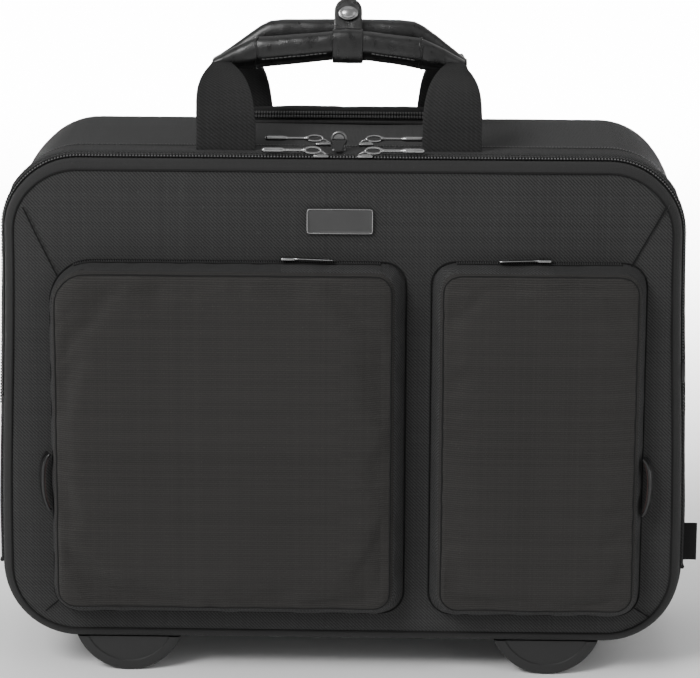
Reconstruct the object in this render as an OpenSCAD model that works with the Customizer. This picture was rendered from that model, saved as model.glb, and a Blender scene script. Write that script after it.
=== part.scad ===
// Rolling laptop case: soft two-compartment case on two rear wheels and two front feet,
// with a telescopic trolley handle under a top cover and a pair of carry handles.
// Origin: on the floor, under the middle of the case. X right, -Y front, +Z up.

/* [Body] */
// Width of the case
body_w = 440; // [400:5:460]
// Height of the fabric body
body_h = 317; // [300:1:340]
// Corner radius seen from the front
corner_r = 48; // [44:1:54]
// Thickness of the padded walls
wall = 3.5; // [3:0.5:5]
// Height of the stiff base tray above the floor
tray_top = 72; // [72:1:80]

/* [Depths] */
// Front face of the front panel
panel_y = -84; // [-90:1:-84]
// Line of the front compartment's zip
lid_y = -72; // [-74:0.5:-72]
// Line of the main compartment's zip
split_y = -28; // [-30:0.5:-26]
// Outer face of the back panel
back_y = 100; // [100:1:104]

/* [Base] */
// Height of the fabric body above the floor
base_z = 24; // [24:0.5:26]
// Distance of the front feet from the middle
foot_x = 134; // [120:1:140]
// Radius of the half-round front feet
foot_r = 38; // [34:1:40]
// Distance of the wheels from the middle
wheel_x = 168; // [164:1:170]
// Wheel radius
wheel_r = 31; // [30:0.5:32]
// Wheel width
wheel_w = 22; // [20:1:22]
// Wheel centre behind the origin
wheel_y = 76; // [74:1:78]

/* [Pockets] */
// How far the front pockets stand out of the front panel
pocket_d = 24; // [20:1:26]
// Lower edge of both pockets
pocket_z = 43; // [34:1:44]
// Height of both pockets
pocket_h = 233; // [200:1:234]
// Width of the left pocket
left_pocket_w = 229; // [200:1:230]
// Width of the right pocket
right_pocket_w = 137; // [120:1:138]

/* [Trolley handle] */
// Distance of each tube from the middle
tube_x = 34; // [32:1:35]
// Width of the trolley grip
trolley_grip_w = 88; // [84:1:88]

/* [Carry handles] */
// Width of the handle webbing
web_w = 38; // [34:1:38]
// Middle of each front webbing leg from the middle of the handle
web_x = 72; // [72:1:76]
// Middle of each rear webbing leg from the middle of the handle
rear_web_x = 68; // [68:1:72]
// Length of the leather grips
grip_len = 166; // [160:1:180]

/* [Zips] */
// Length of a zip pull
pull_len = 34; // [26:1:36]
// Middle of the inner end of a top slider from the middle of the case
slider_x = 14; // [12:1:16]

/* [Hidden] */
$fn = 48;
gap = 0.4;                       // between pieces of different bodies
body_top = base_z + body_h;
zip_w = 2;                       // width of one zip tape edge
zip_proud = 0.8;                 // how far a zip coil stands out of the body
panel_t = 4;                     // padded front, back and divider panels
board_y = 76;                    // front face of the back board
board_t = 2.5;
tube_y = 87.2;
tube_out = 8;                    // outer radii of the three tube stages
tube_mid = 7;
tube_in = 6;
tube_wall = 0.92;
tube_foot_z = 50;
cup_z = 326;                     // underside of the trolley bezel's cup
cup_w = 2 * tube_x + 30;
cup_d = 16.6;
cover_w = 160;                   // soft cover over the trolley grip
cover_y0 = 67;
cover_top = 352.5;
foot_y0 = -70;                   // front face of the feet
cheek_t = 6;
housing_w = wheel_w + 3 + 2 * cheek_t;
housing_y0 = 37;
housing_y1 = 103;
housing_top = 80;
axle_r = 3;
bearing_r = 8;
hub_r = 20;
left_pocket_x = -188 + left_pocket_w / 2;
right_pocket_x = 57 + right_pocket_w / 2;
pocket_r = 14;
pocket_wall = 3;
handle_x = -3;                    // the handles sit a little to the left
front_leg_y = -60;
rear_leg_y = 102.6;
web_t = 2.6;
grip_z = 393;
grip_h = 20.5;
grip_d = 12;
front_grip_y = 0;
rear_grip_y = 18.6;
tab_w = 18;
tab_top = 433;
tab_t = 2.6;
front_tab_y = 12.4;
rear_tab_y = 15.6;
snap_z = 422.6;
pull_w = 6;
pin_r = 0.8;
slider_z = body_top + 1.6;
slider_l = 9;
left_slider_x = -34;             // rest places of the two pocket sliders
right_slider_x = 128;
slider_w = 7;

// ---- shapes that repeat ----

// A rounded rectangle of exact arcs, standing on y = 0 and centred on x = 0.
module rounded(w, h, r) {
    translate([-w / 2 + r, 0]) square([w - 2 * r, h]);
    translate([-w / 2, r]) square([w, h - 2 * r]);
    for (x = [-w / 2 + r, w / 2 - r], y = [r, h - r]) translate([x, y]) circle(r);
}

// The front outline of the case, drawn in by inset.
module outline(inset) {
    translate([0, base_z + inset])
        rounded(body_w - 2 * inset, body_h - 2 * inset, corner_r - inset);
}

// A flat outline in X and Z, made solid from y0 to y1.
module along_y(y0, y1) {
    translate([0, y1, 0]) rotate([90, 0, 0]) linear_extrude(y1 - y0) children();
}

// A flat outline in Y and Z, made solid from x0 to x1.
module along_x(x0, x1) {
    translate([x0, 0, 0]) rotate([90, 0, 90]) linear_extrude(x1 - x0) children();
}

// A ring that follows the outline, from low z upwards.
module ring(y0, y1, out, in, low) {
    along_y(y0, y1) difference() {
        outline(-out);
        outline(in);
        if (low > base_z) translate([-body_w, base_z - 20]) square([2 * body_w, low - base_z + 20]);
    }
}

// A box by its low corner and its high corner.
module box(low, high) {
    translate(low) cube(high - low);
}

// The space that a wheel housing takes out of the body.
module housing_space(s, c) {
    x = s * wheel_x;
    half = housing_w / 2 + c;
    box([x - half, housing_y0 - c, base_z - 20], [x + half, housing_y1 + 20, housing_top + c]);
}

module both_housing_spaces() {
    for (s = [-1, 1]) housing_space(s, gap);
}

// ---- case body ----

// Stiff tray under the whole case, with the lower corners and side walls.
module base_panel() {
    color("#242424") difference() {
        along_y(lid_y + gap, back_y - panel_t - 0.1) intersection() {
            difference() {
                outline(0);
                outline(wall);
            }
            translate([-body_w, 0]) square([2 * body_w, tray_top]);
        }
        both_housing_spaces();
    }
}

// Side and top wall of the main compartment.
module rear_gusset() {
    color("#2b2b2a") difference() {
        ring(split_y + zip_w + gap, back_y - panel_t - 0.1, 0, wall, tray_top + 0.1);
        both_housing_spaces();
        trolley_cut();
    }
}

// Hole in the top wall for the bezel's cup.
module trolley_cut() {
    box([-cup_w / 2 - 0.2, tube_y - cup_d / 2 - 0.2, body_top - 20],
        [cup_w / 2 + 0.2, back_y, body_top + 20]);
}

// Padded back panel.
module back_panel() {
    color("#282828") difference() {
        along_y(back_y - panel_t, back_y) outline(0);
        both_housing_spaces();
    }
}

// Board between the compartment and the trolley tubes.
module back_board() {
    color("#1c1c1c") difference() {
        along_y(board_y, board_y + board_t) outline(wall + 1);
        both_housing_spaces();
    }
}

// Case half of the main compartment's zip.
module main_zip_case() {
    color("#101010") ring(split_y + gap / 2, split_y + zip_w, zip_proud, wall, tray_top + 0.1);
}

// Soft cover over the trolley grip, along the rear of the top.
module handle_cover() {
    color("#333332") difference() {
        box([-cover_w / 2, cover_y0 + 4, body_top + 0.1], [cover_w / 2, back_y, cover_top]);
        box([-cover_w / 2 + 6, cover_y0 + 6.5, body_top - 1],
            [cover_w / 2 - 6, back_y - 2, cover_top - 2]);
    }
}

// Two-row zip at the front foot of the cover, with its slider parked at the left end.
module cover_zip() {
    color("#141414") {
        box([-cover_w / 2, cover_y0, body_top + 0.1], [cover_w / 2, cover_y0 + 3.8, body_top + 2.6]);
        box([-cover_w / 2 + 4, cover_y0 - 2, body_top + 0.1],
            [-cover_w / 2 + 12, cover_y0, body_top + 4]);
    }
}

// ---- trolley ----

module tube_pair(r, z0, z1) {
    for (s = [-1, 1]) translate([s * tube_x, tube_y, z0]) difference() {
        cylinder(r = r, h = z1 - z0);
        translate([0, 0, -1]) cylinder(r = r - tube_wall, h = z1 - z0 + 2);
    }
}

// Fixed tubes behind the board.
module outer_tubes() {
    color("silver") tube_pair(tube_out, tube_foot_z + 0.1, cup_z - 0.1);
}

// Cup and flange that hold the trolley grip at the top.
module trolley_bezel() {
    color("#161616") difference() {
        union() {
            box([-cup_w / 2, tube_y - cup_d / 2, cup_z], [cup_w / 2, tube_y + cup_d / 2, body_top + 0.5]);
            box([-cup_w / 2 - 5, tube_y - cup_d / 2 - 2.4, body_top + 0.2],
                [cup_w / 2 + 5, tube_y + cup_d / 2 + 1.6, body_top + 2]);
        }
        box([-cup_w / 2 + 1, tube_y - cup_d / 2 + 1, cup_z + 2],
            [cup_w / 2 - 1, tube_y + cup_d / 2 - 1, body_top + 20]);
        for (s = [-1, 1]) translate([s * tube_x, tube_y, cup_z - 1]) cylinder(r = tube_mid + 0.1, h = 5);
    }
}

// Bracket under the tubes, screwed to the board.
module trolley_foot() {
    color("#161616") box([-tube_x - 14, board_y + board_t + 0.1, base_z + wall + 2],
        [tube_x + 14, back_y - panel_t - 0.1, tube_foot_z]);
}

// Middle stage.
module mid_tubes() {
    color("silver") tube_pair(tube_mid, tube_foot_z + 6, cup_z + 1.8);
}

// Inner stage, fixed in the trolley grip.
module inner_tubes() {
    color("silver") tube_pair(tube_in, tube_foot_z + 12, cup_z + 12);
}

// Grip of the trolley handle with a hollow for its button.
module trolley_grip() {
    half = trolley_grip_w / 2;
    color("#1a1a1a") difference() {
        box([-half, tube_y - 7, cup_z + 2.2], [half, tube_y + 7, body_top + 4]);
        for (s = [-1, 1]) translate([s * tube_x, tube_y, cup_z]) cylinder(r = tube_in + 0.05, h = 12.1);
        box([-14, tube_y - 4.5, cup_z + 6], [14, tube_y + 4.5, body_top + 10]);
    }
}

// Release button in the top of the grip.
module trolley_button() {
    color("#303030") difference() {
        box([-13.8, tube_y - 4.3, cup_z + 13], [13.8, tube_y + 4.3, body_top + 4.4]);
        translate([0, tube_y, cup_z + 12]) cylinder(r = 3.4, h = 4);
    }
}

// Spring under the button.
module button_spring() {
    color("silver") translate([0, tube_y, cup_z + 6.05]) difference() {
        cylinder(r = 3, h = 9.9);
        translate([0, 0, -1]) cylinder(r = 2, h = 12);
    }
}

// ---- wheels and feet ----

// Moulded wheel housing: two cheeks and an arch over the wheel.
module wheel_housing(s) {
    x = s * wheel_x;
    half = housing_w / 2;
    color("#1d1d1d") difference() {
        box([x - half, housing_y0, base_z - 2], [x + half, housing_y1, housing_top]);
        along_x(x - wheel_w / 2 - 1.5, x + wheel_w / 2 + 1.5)
            translate([wheel_y, wheel_r]) circle(wheel_r + 4);
        along_x(x - half - 1, x + half + 1) translate([wheel_y, wheel_r]) circle(axle_r);
    }
}

// Axle pins, held in the cheeks.
module wheel_axles() {
    color("silver") for (s = [-1, 1])
        along_x(s * wheel_x - housing_w / 2, s * wheel_x + housing_w / 2)
            translate([wheel_y, wheel_r]) circle(axle_r);
}

module wheel_ring(s, r_out, r_in, w) {
    along_x(s * wheel_x - w / 2, s * wheel_x + w / 2) translate([wheel_y, wheel_r]) difference() {
        circle(r_out);
        circle(r_in);
    }
}

module tyre(s) {
    color("#1b1b1b") wheel_ring(s, wheel_r, hub_r + 0.05, wheel_w);
}

module hub(s) {
    color("#4a4a4c") wheel_ring(s, hub_r, bearing_r + 0.02, wheel_w - 2);
}

// Two ball bearings in the hub.
module bearings(s) {
    color("silver") for (d = [-6, 6]) translate([d, 0, 0]) wheel_ring(s, bearing_r, axle_r + 0.05, 5);
}

// Kick plate along the rear bottom edge, between the housings.
module base_skid() {
    half = wheel_x - housing_w / 2 - 2;
    color("#1d1d1d") {
        box([-half, 60, base_z - 2.6], [half, back_y + 2.6, base_z - 0.1]);
        box([-half, back_y + 0.1, base_z - 0.1], [half, back_y + 2.6, 64]);
    }
}

// Half-round front foot.
module foot(s) {
    color("#343434") along_y(foot_y0, foot_y0 + 30) translate([s * foot_x, 0]) intersection() {
        translate([0, foot_r]) circle(foot_r);
        translate([-foot_r, 0]) square([2 * foot_r, base_z - 0.1]);
    }
}

// ---- inside ----

// Padded laptop sleeve in front of the board.
module laptop_sleeve() {
    color("#3a3a3a") difference() {
        box([-192, 40, 44], [192, board_y - 0.2, 276]);
        box([-188, 44, 48], [188, board_y + 5, 290]);
        for (s = [-1, 1]) box([s * 165 - 40, 36, 30], [s * 165 + 40, 90, housing_top + 6]);
    }
}

// ---- front compartment ----

module front_gusset() {
    color("#2b2b2a") ring(lid_y + zip_w + gap, split_y - zip_w - gap, 0, wall, tray_top + gap);
}

module main_zip_front() {
    color("#101010") ring(split_y - zip_w, split_y - gap / 2, zip_proud, wall, tray_top + gap);
}

// Case half of the front compartment's zip.
module lid_zip_case() {
    color("#101010") ring(lid_y + gap / 2, lid_y + zip_w, zip_proud, wall, tray_top + gap);
}

// Wall between the two compartments, with an organiser: three pockets and pen loops.
module front_divider() {
    color("#303030") {
        along_y(split_y - 7, split_y - 4) outline(wall + 0.6);
        for (x = [-95, 0, 95]) box([x - 44, split_y - 10, 60], [x + 44, split_y - 7, 180]);
        for (x = [-30, -15, 0, 15, 30]) translate([x, split_y - 11, 200]) difference() {
            cylinder(r = 6, h = 30);
            translate([0, 0, -1]) cylinder(r = 5, h = 32);
        }
    }
}

// Tab and ring that the top pulls lock to.
module lock_ring() {
    color("#606062") {
        translate([0, -52, body_top + 10]) rotate([90, 0, 0]) rotate_extrude() translate([6.4, 0]) circle(1.6);
        box([-4, -53.5, body_top + 0.1], [4, -50.5, body_top + 4]);
    }
}

// Plain woven label on the right side.
module side_label() {
    color("#0e0e0e") box([body_w / 2 + 0.1, -67.5, 76], [body_w / 2 + 6, -66, 101]);
}

// ---- front panel and pockets ----

module front_panel() {
    color("#2e2e2e") along_y(panel_y, panel_y + panel_t) outline(0);
}

// Smooth band round the panel's edge.
module panel_binding() {
    color("#373735") ring(panel_y + panel_t + 0.1, lid_y - zip_w - 0.1, 0, wall, 0);
}

module lid_zip_panel() {
    color("#101010") ring(lid_y - zip_w, lid_y - gap / 2, zip_proud, wall, tray_top + gap);
}

// A boxy pocket, open towards the panel. Its front part is drawn in all round.
module pocket(x, w) {
    step_y = panel_y - pocket_d * 0.55;
    color("#292827") difference() {
        union() {
            along_y(step_y, panel_y - 0.1) translate([x, pocket_z]) rounded(w, pocket_h, pocket_r);
            along_y(panel_y - pocket_d, step_y)
                translate([x, pocket_z + 2.5]) rounded(w - 5, pocket_h - 5, pocket_r - 2.5);
        }
        along_y(panel_y - pocket_d + pocket_wall, panel_y + 1)
            translate([x, pocket_z + 2.5 + pocket_wall])
                rounded(w - 5 - 2 * pocket_wall, pocket_h - 5 - 2 * pocket_wall, pocket_r - 4.5);
    }
}

// Zips along the tops of both pockets.
module pocket_zips() {
    z = pocket_z + pocket_h;
    color("#101010") {
        box([left_pocket_x - left_pocket_w / 2 + 16, panel_y - 11, z + 0.1],
            [left_pocket_x + left_pocket_w / 2 - 16, panel_y - 5, z + 1.2]);
        box([right_pocket_x - right_pocket_w / 2 + 16, panel_y - 11, z + 0.1],
            [right_pocket_x + right_pocket_w / 2 - 16, panel_y - 5, z + 1.2]);
    }
}

// Plain metal plate in the middle of the panel's upper part.
module nameplate() {
    color("#5a5a5c") box([-22.5, panel_y - 2, 294], [19.5, panel_y - 0.1, 310]);
}

// Leather loops at the outer side of each pocket.
module side_loops() {
    color("#0f0f0f") for (x = [left_pocket_x - left_pocket_w / 2 - 6, right_pocket_x + right_pocket_w / 2 + 1])
        difference() {
            box([x, panel_y - 12, 112], [x + 5, panel_y - 0.1, 148]);
            box([x - 1, panel_y - 9, 118], [x + 6, panel_y - 3, 142]);
        }
}

// ---- zip sliders and pulls ----

// Slider body with two ears for the pull's pin.
module slider(x, y, z) {
    color("#6a6a6c") translate([x, y, z]) difference() {
        union() {
            box([-slider_l / 2, -slider_w / 2, 0], [slider_l / 2, slider_w / 2, 2]);
            for (s = [-1, 1]) box([-1.8, s * 2.7 - 0.8, 2], [1.8, s * 2.7 + 0.8, 5]);
        }
        translate([0, slider_w, 3.3]) rotate([90, 0, 0]) cylinder(r = pin_r + 0.05, h = 2 * slider_w);
    }
}

// Long pull lying outwards, with its hinge pin.
module pull(x, y, z, side) {
    color("#77777a") translate([x, y, z + 3.3]) {
        rotate([90, 0, 0]) translate([0, 0, -3.4]) cylinder(r = pin_r, h = 6.8);
        box([side > 0 ? 0 : -4, -1.5, -0.7], [side > 0 ? 4 : 0, 1.5, 0.7]);
        box([side > 0 ? 4 : -pull_len, -pull_w / 2, -0.8], [side > 0 ? pull_len : -4, pull_w / 2, 0.8]);
    }
}

// Short slider and pull in one piece, for a pocket.
module pocket_slider(x, side) {
    z = pocket_z + pocket_h + 1.3;
    color("#6a6a6c") translate([x, panel_y - 8, z]) {
        box([-5, -3, 0], [5, 3, 2.4]);
        box([side > 0 ? 5 : -28, -2.5, 1], [side > 0 ? 28 : -5, 2.5, 2.4]);
    }
}

// ---- carry handles ----

// Side outline of a strap along points p, of thickness t, as one closed outline.
module strap_outline(p, t) {
    n = len(p);
    polygon(concat([for (i = [0:n - 1]) p[i] + side_step(p, i, t)],
        [for (i = [n - 1:-1:0]) p[i] - side_step(p, i, t)]));
}

function unit(v) = v / norm(v);
function way(p, i) = unit(p[min(i + 1, len(p) - 1)] - p[max(i - 1, 0)]);
function side_step(p, i, t) = [-way(p, i)[1], way(p, i)[0]] * t / 2;

front_strap = [[front_leg_y, body_top + 1], [front_leg_y, body_top + 10], [-55, 366], [-43, 382],
    [-24, 394], [front_grip_y - 0.6, 402]];
rear_strap = [[rear_leg_y, 318], [rear_leg_y, 350], [98, 366], [84, 381], [60, 394],
    [rear_grip_y + grip_d + 0.6, 402]];

module webbing(p, x) {
    color("#1f1f1f") translate([handle_x, 0, 0]) for (s = [-1, 1])
        along_x(s * x - web_w / 2, s * x + web_w / 2) strap_outline(p, web_t);
}

// Leather-wrapped grip with rounded long edges.
module grip(y) {
    r = 5;
    color("#151515") along_x(handle_x - grip_len / 2, handle_x + grip_len / 2)
        translate([y + grip_d / 2, grip_z]) rounded(grip_d, grip_h, r);
}

// Leather loop round a grip, with the upright tab that carries half of the snap.
module snap_tab() {
    out = 2;
    grip_y = front_grip_y;
    tab_y = front_tab_y;
    color("#121212") {
        difference() {
            box([-tab_w / 2, grip_y - out, grip_z - out], [tab_w / 2, grip_y + grip_d - 0.2, grip_z + grip_h + out]);
            box([-tab_w, grip_y - 0.1, grip_z - 0.1], [tab_w, grip_y + grip_d + 10, grip_z + grip_h + 0.1]);
        }
        along_y(tab_y, tab_y + tab_t) union() {
            translate([-tab_w / 2, grip_z + grip_h + out]) square([tab_w, tab_top - tab_w / 2 - grip_z - grip_h - out]);
            translate([0, tab_top - tab_w / 2]) circle(tab_w / 2);
        }
        box([-tab_w / 2, min(tab_y, grip_y + grip_d - 3), grip_z + grip_h + 0.2],
            [tab_w / 2, max(tab_y + tab_t, grip_y + 3), grip_z + grip_h + out + 0.1]);
    }
}

module snap_cap() {
    color("#707074") along_y(9, front_tab_y - 0.1) translate([0, snap_z]) circle(6.5);
}

module snap_stud() {
    color("#707074") along_y(rear_tab_y + tab_t + 0.1, rear_tab_y + tab_t + 2.5) translate([0, snap_z]) circle(5);
}

// The rear grip's tab is the front one turned round.
module rear_snap_tab() {
    translate([0, front_grip_y + rear_grip_y + grip_d, 0]) mirror([0, 1, 0]) snap_tab();
}

// ---- pieces ----

base_panel();
rear_gusset();
back_panel();
back_board();
main_zip_case();
handle_cover();
cover_zip();
outer_tubes();
trolley_bezel();
trolley_foot();
wheel_housing(-1);  // wheel_housing_left
wheel_housing(1);  // wheel_housing_right
wheel_axles();
base_skid();
laptop_sleeve();
foot(-1);  // foot_left
foot(1);  // foot_right
tyre(-1);  // tyre_left
hub(-1);  // hub_left
bearings(-1);  // bearings_left
tyre(1);  // tyre_right
hub(1);  // hub_right
bearings(1);  // bearings_right
front_gusset();
main_zip_front();
front_divider();
lid_zip_case();
lock_ring();
side_label();
front_panel();
panel_binding();
lid_zip_panel();
pocket(left_pocket_x, left_pocket_w);  // left_pocket
pocket(right_pocket_x, right_pocket_w);  // right_pocket
pocket_zips();
nameplate();
side_loops();
slider(-slider_x, lid_y, slider_z);  // lid_slider_left
pull(-slider_x, lid_y, slider_z, -1);  // lid_pull_left
slider(slider_x, lid_y, slider_z);  // lid_slider_right
pull(slider_x, lid_y, slider_z, 1);  // lid_pull_right
slider(-slider_x, split_y, slider_z);  // main_slider_left
pull(-slider_x, split_y, slider_z, -1);  // main_pull_left
slider(slider_x, split_y, slider_z);  // main_slider_right
pull(slider_x, split_y, slider_z, 1);  // main_pull_right
pocket_slider(left_slider_x, 1);  // left_pocket_slider
pocket_slider(right_slider_x, -1);  // right_pocket_slider
webbing(front_strap, web_x);  // front_webbing
grip(front_grip_y);  // front_grip
snap_tab();  // front_snap_tab
snap_cap();
webbing(rear_strap, rear_web_x);  // rear_webbing
grip(rear_grip_y);  // rear_grip
rear_snap_tab();
snap_stud();
mid_tubes();
inner_tubes();
trolley_grip();
trolley_button();
button_spring();
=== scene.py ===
import math

import bmesh
import bpy
from mathutils import Matrix, Vector, noise


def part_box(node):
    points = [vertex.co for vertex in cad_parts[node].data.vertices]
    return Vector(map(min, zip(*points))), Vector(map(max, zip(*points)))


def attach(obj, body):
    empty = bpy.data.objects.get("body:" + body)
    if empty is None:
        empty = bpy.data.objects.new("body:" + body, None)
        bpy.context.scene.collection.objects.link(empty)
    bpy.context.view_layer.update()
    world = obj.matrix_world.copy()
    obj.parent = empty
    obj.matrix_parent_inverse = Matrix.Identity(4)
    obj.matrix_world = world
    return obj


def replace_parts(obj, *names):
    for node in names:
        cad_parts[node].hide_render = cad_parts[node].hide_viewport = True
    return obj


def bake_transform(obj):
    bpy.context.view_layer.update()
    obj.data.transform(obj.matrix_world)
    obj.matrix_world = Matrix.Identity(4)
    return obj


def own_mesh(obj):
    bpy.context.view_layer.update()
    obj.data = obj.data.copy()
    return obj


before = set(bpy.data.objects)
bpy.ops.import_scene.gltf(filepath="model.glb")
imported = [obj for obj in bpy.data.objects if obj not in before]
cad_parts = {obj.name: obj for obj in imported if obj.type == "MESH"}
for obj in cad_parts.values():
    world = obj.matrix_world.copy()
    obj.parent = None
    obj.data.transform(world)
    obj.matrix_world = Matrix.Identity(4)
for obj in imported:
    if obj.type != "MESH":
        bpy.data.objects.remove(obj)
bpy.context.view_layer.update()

MM = 0.001

# ---- sizes, from the frame ----

PANEL_LOW, PANEL_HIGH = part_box("front_panel")
BACK_LOW, BACK_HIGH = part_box("back_panel")
BODY_W = PANEL_HIGH[0] - PANEL_LOW[0]
BASE_Z = PANEL_LOW[2]
TOP_Z = PANEL_HIGH[2]
BODY_H = TOP_Z - BASE_Z
BODY_MID = (0.0, BASE_Z + BODY_H / 2)
CORNER_R = 48 * MM
WALL = 3.5 * MM
PANEL_Y = PANEL_LOW[1]
LID_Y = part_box("lid_zip_case")[0][1] - 0.2 * MM
SPLIT_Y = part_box("main_zip_case")[0][1] - 0.2 * MM
BACK_Y = BACK_HIGH[1]
LID_ZIP_END = 176 * MM
TRAY_TOP = 72 * MM
POCKET_DEEP = 24.4
POCKET_CORNER_R = 15 * MM
WIDE_CORNER = 27 * MM
WEB_WIDTH = 38
WEB_THICK = 2.4 * MM
WEB_POINTS = 46
FRONT_WEB_X = (-75.4, 69.4)
REAR_WEB_X = (-71.0, 65.0)
PIPING_R = 1.5 * MM
FOOT_FORWARD = 9 * MM
FOOT_FULLER = 1.4 * MM
FOOT_ASIDE = {"left": -5.2 * MM, "right": 0.6 * MM}
FOOT_CUT_Y = -72 * MM
COVER_FRONT = 67.5 * MM
COVER_DEEP = 33 * MM
ORGANISER_FOOT = 84 * MM
ORGANISER_TOP = 178 * MM


# ---- working with pieces ----

def only(piece):
    """Selects one piece and nothing else."""
    bpy.ops.object.select_all(action="DESELECT")
    piece.select_set(True)
    bpy.context.view_layer.objects.active = piece


def named(name):
    """Names the primitive that was just added and settles its place into its mesh."""
    piece = bpy.context.object
    piece.name = name
    piece.data.name = name
    only(piece)
    bpy.ops.object.transform_apply(location=True, rotation=True, scale=True)
    return piece


def clear_picks(piece):
    mesh = piece.data
    for part in (mesh.vertices, mesh.edges, mesh.polygons):
        part.foreach_set("select", [False] * len(part))


def pick_edges(piece, test):
    """Selects the edges whose two ends pass the test."""
    clear_picks(piece)
    mesh = piece.data
    for edge in mesh.edges:
        a, b = (mesh.vertices[i] for i in edge.vertices)
        if test(a.co, b.co):
            edge.select = a.select = b.select = True
    bpy.context.tool_settings.mesh_select_mode = (False, True, False)


def pick_faces(piece, test):
    """Selects the faces whose centre and normal pass the test."""
    clear_picks(piece)
    mesh = piece.data
    for face in mesh.polygons:
        if test(face.center, face.normal):
            face.select = True
            for i in face.vertices:
                mesh.vertices[i].select = True
    bpy.context.tool_settings.mesh_select_mode = (False, False, True)


def shape(piece, *steps):
    """Runs edit-mode steps, each an operator with its settings, on what is picked."""
    only(piece)
    bpy.ops.object.mode_set(mode="EDIT")
    for operator, settings in steps:
        operator(**settings)
    bpy.ops.object.mode_set(mode="OBJECT")
    return piece


def finish_with(piece, kind, **settings):
    """Adds a modifier and applies it."""
    only(piece)
    modifier = piece.modifiers.new(kind.title(), kind)
    for key, value in settings.items():
        setattr(modifier, key, value)
    bpy.ops.object.modifier_apply(modifier=modifier.name)
    return piece


def cut_up(piece, cuts):
    """Divides every face of a piece evenly."""
    clear_picks(piece)
    return shape(piece, (bpy.ops.mesh.select_all, {"action": "SELECT"}),
                 (bpy.ops.mesh.subdivide, {"number_cuts": cuts}))


def round_off(piece, width, segments=2, angle=40):
    return finish_with(piece, "BEVEL", width=width, segments=segments,
                       limit_method="ANGLE", angle_limit=math.radians(angle))


def all_smooth(mesh):
    """Shades every face of a mesh smooth."""
    for face in mesh.polygons:
        face.use_smooth = True


def smooth(piece, angle=40):
    only(piece)
    bpy.ops.object.shade_smooth_by_angle(angle=math.radians(angle))
    return piece


def outward(piece):
    """Merges doubles and turns the faces outwards."""
    clear_picks(piece)
    return shape(piece,
                 (bpy.ops.mesh.select_all, {"action": "SELECT"}),
                 (bpy.ops.mesh.remove_doubles, {"threshold": 1e-5}),
                 (bpy.ops.mesh.normals_make_consistent, {"inside": False}))


def move_points(piece, rule):
    """Puts each vertex where rule(position) says."""
    for vertex in piece.data.vertices:
        vertex.co = rule(vertex.co)
    piece.data.update()
    return piece


def joined(name, pieces):
    """Joins pieces into one."""
    bpy.ops.object.select_all(action="DESELECT")
    for piece in pieces:
        piece.select_set(True)
    bpy.context.view_layer.objects.active = pieces[0]
    if len(pieces) > 1:
        bpy.ops.object.join()
    whole = bpy.context.view_layer.objects.active
    whole.name = name
    whole.data.name = name
    return whole


def block(name, low, high, bevel=0.0, segments=2):
    """A block between two corners, with rounded edges."""
    centre = [(a + b) / 2 for a, b in zip(low, high)]
    bpy.ops.object.select_all(action="DESELECT")
    bpy.ops.mesh.primitive_cube_add(size=1, location=centre)
    bpy.context.object.scale = [b - a for a, b in zip(low, high)]
    piece = named(name)
    if bevel:
        round_off(piece, bevel, segments)
    return piece


def disc(name, centre, radius, depth, axis="Y", sides=48):
    """A short cylinder along X or Y."""
    turn = {"X": (0, math.pi / 2, 0), "Y": (math.pi / 2, 0, 0)}[axis]
    bpy.ops.object.select_all(action="DESELECT")
    bpy.ops.mesh.primitive_cylinder_add(vertices=sides, radius=radius, depth=depth,
                                        location=centre, rotation=turn)
    return named(name)


# ---- outlines ----

def outline_point(side, f, w, h, r):
    """A point and its outward normal on a rounded rectangle round (0, 0).

    side is 0 right, 1 top, 2 left, 3 bottom; f runs from -1 to 1 between the middles of
    that side's two corners, counter-clockwise.
    """
    length, across = (h, w) if side % 2 == 0 else (w, h)
    straight = length / 2 - r
    s = f * (straight + math.pi / 4 * r)
    turn = 0.0
    if abs(s) > straight:
        turn = math.copysign((abs(s) - straight) / max(r, 1e-9), s)
        s = math.copysign(straight, s)
    along = s + r * math.sin(turn)
    out = across / 2 - r + r * math.cos(turn)
    nx, nz = math.cos(turn), math.sin(turn)
    a = side * math.pi / 2
    c, k = round(math.cos(a)), round(math.sin(a))
    point = (out * c - along * k, out * k + along * c)
    normal = (nx * c - nz * k, nx * k + nz * c)
    return point, normal


def outline_path(w, h, r, centre, step):
    """Points, normals and lengths along a rounded rectangle, from the bottom's middle."""
    found = []
    for side in (3, 0, 1, 2, 3):
        length = (h if side % 2 == 0 else w) - 2 * r + math.pi / 2 * r
        count = max(4, round(length / step / 2) * 2)
        low, high = (0, 1) if len(found) == 0 else (-1, 1)
        if side == 3 and len(found):
            high = 0
        for i in range(count + 1):
            f = -1 + 2 * i / count
            if low - 1e-9 <= f <= high + 1e-9:
                p, n = outline_point(side, f, w, h, r)
                found.append((Vector((p[0] + centre[0], p[1] + centre[1])), Vector(n)))
    kept = [found[0]]
    for item in found[1:]:
        if (item[0] - kept[-1][0]).length > step * 0.1:
            kept.append(item)
    return kept


def outline_depth(x, z, w=BODY_W, h=BODY_H, r=CORNER_R, centre=BODY_MID):
    """How far inside the rounded rectangle a point is."""
    qx = abs(x - centre[0]) - (w / 2 - r)
    qz = abs(z - centre[1]) - (h / 2 - r)
    outside = math.hypot(max(qx, 0), max(qz, 0)) + min(max(qx, qz), 0)
    return r - outside


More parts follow.
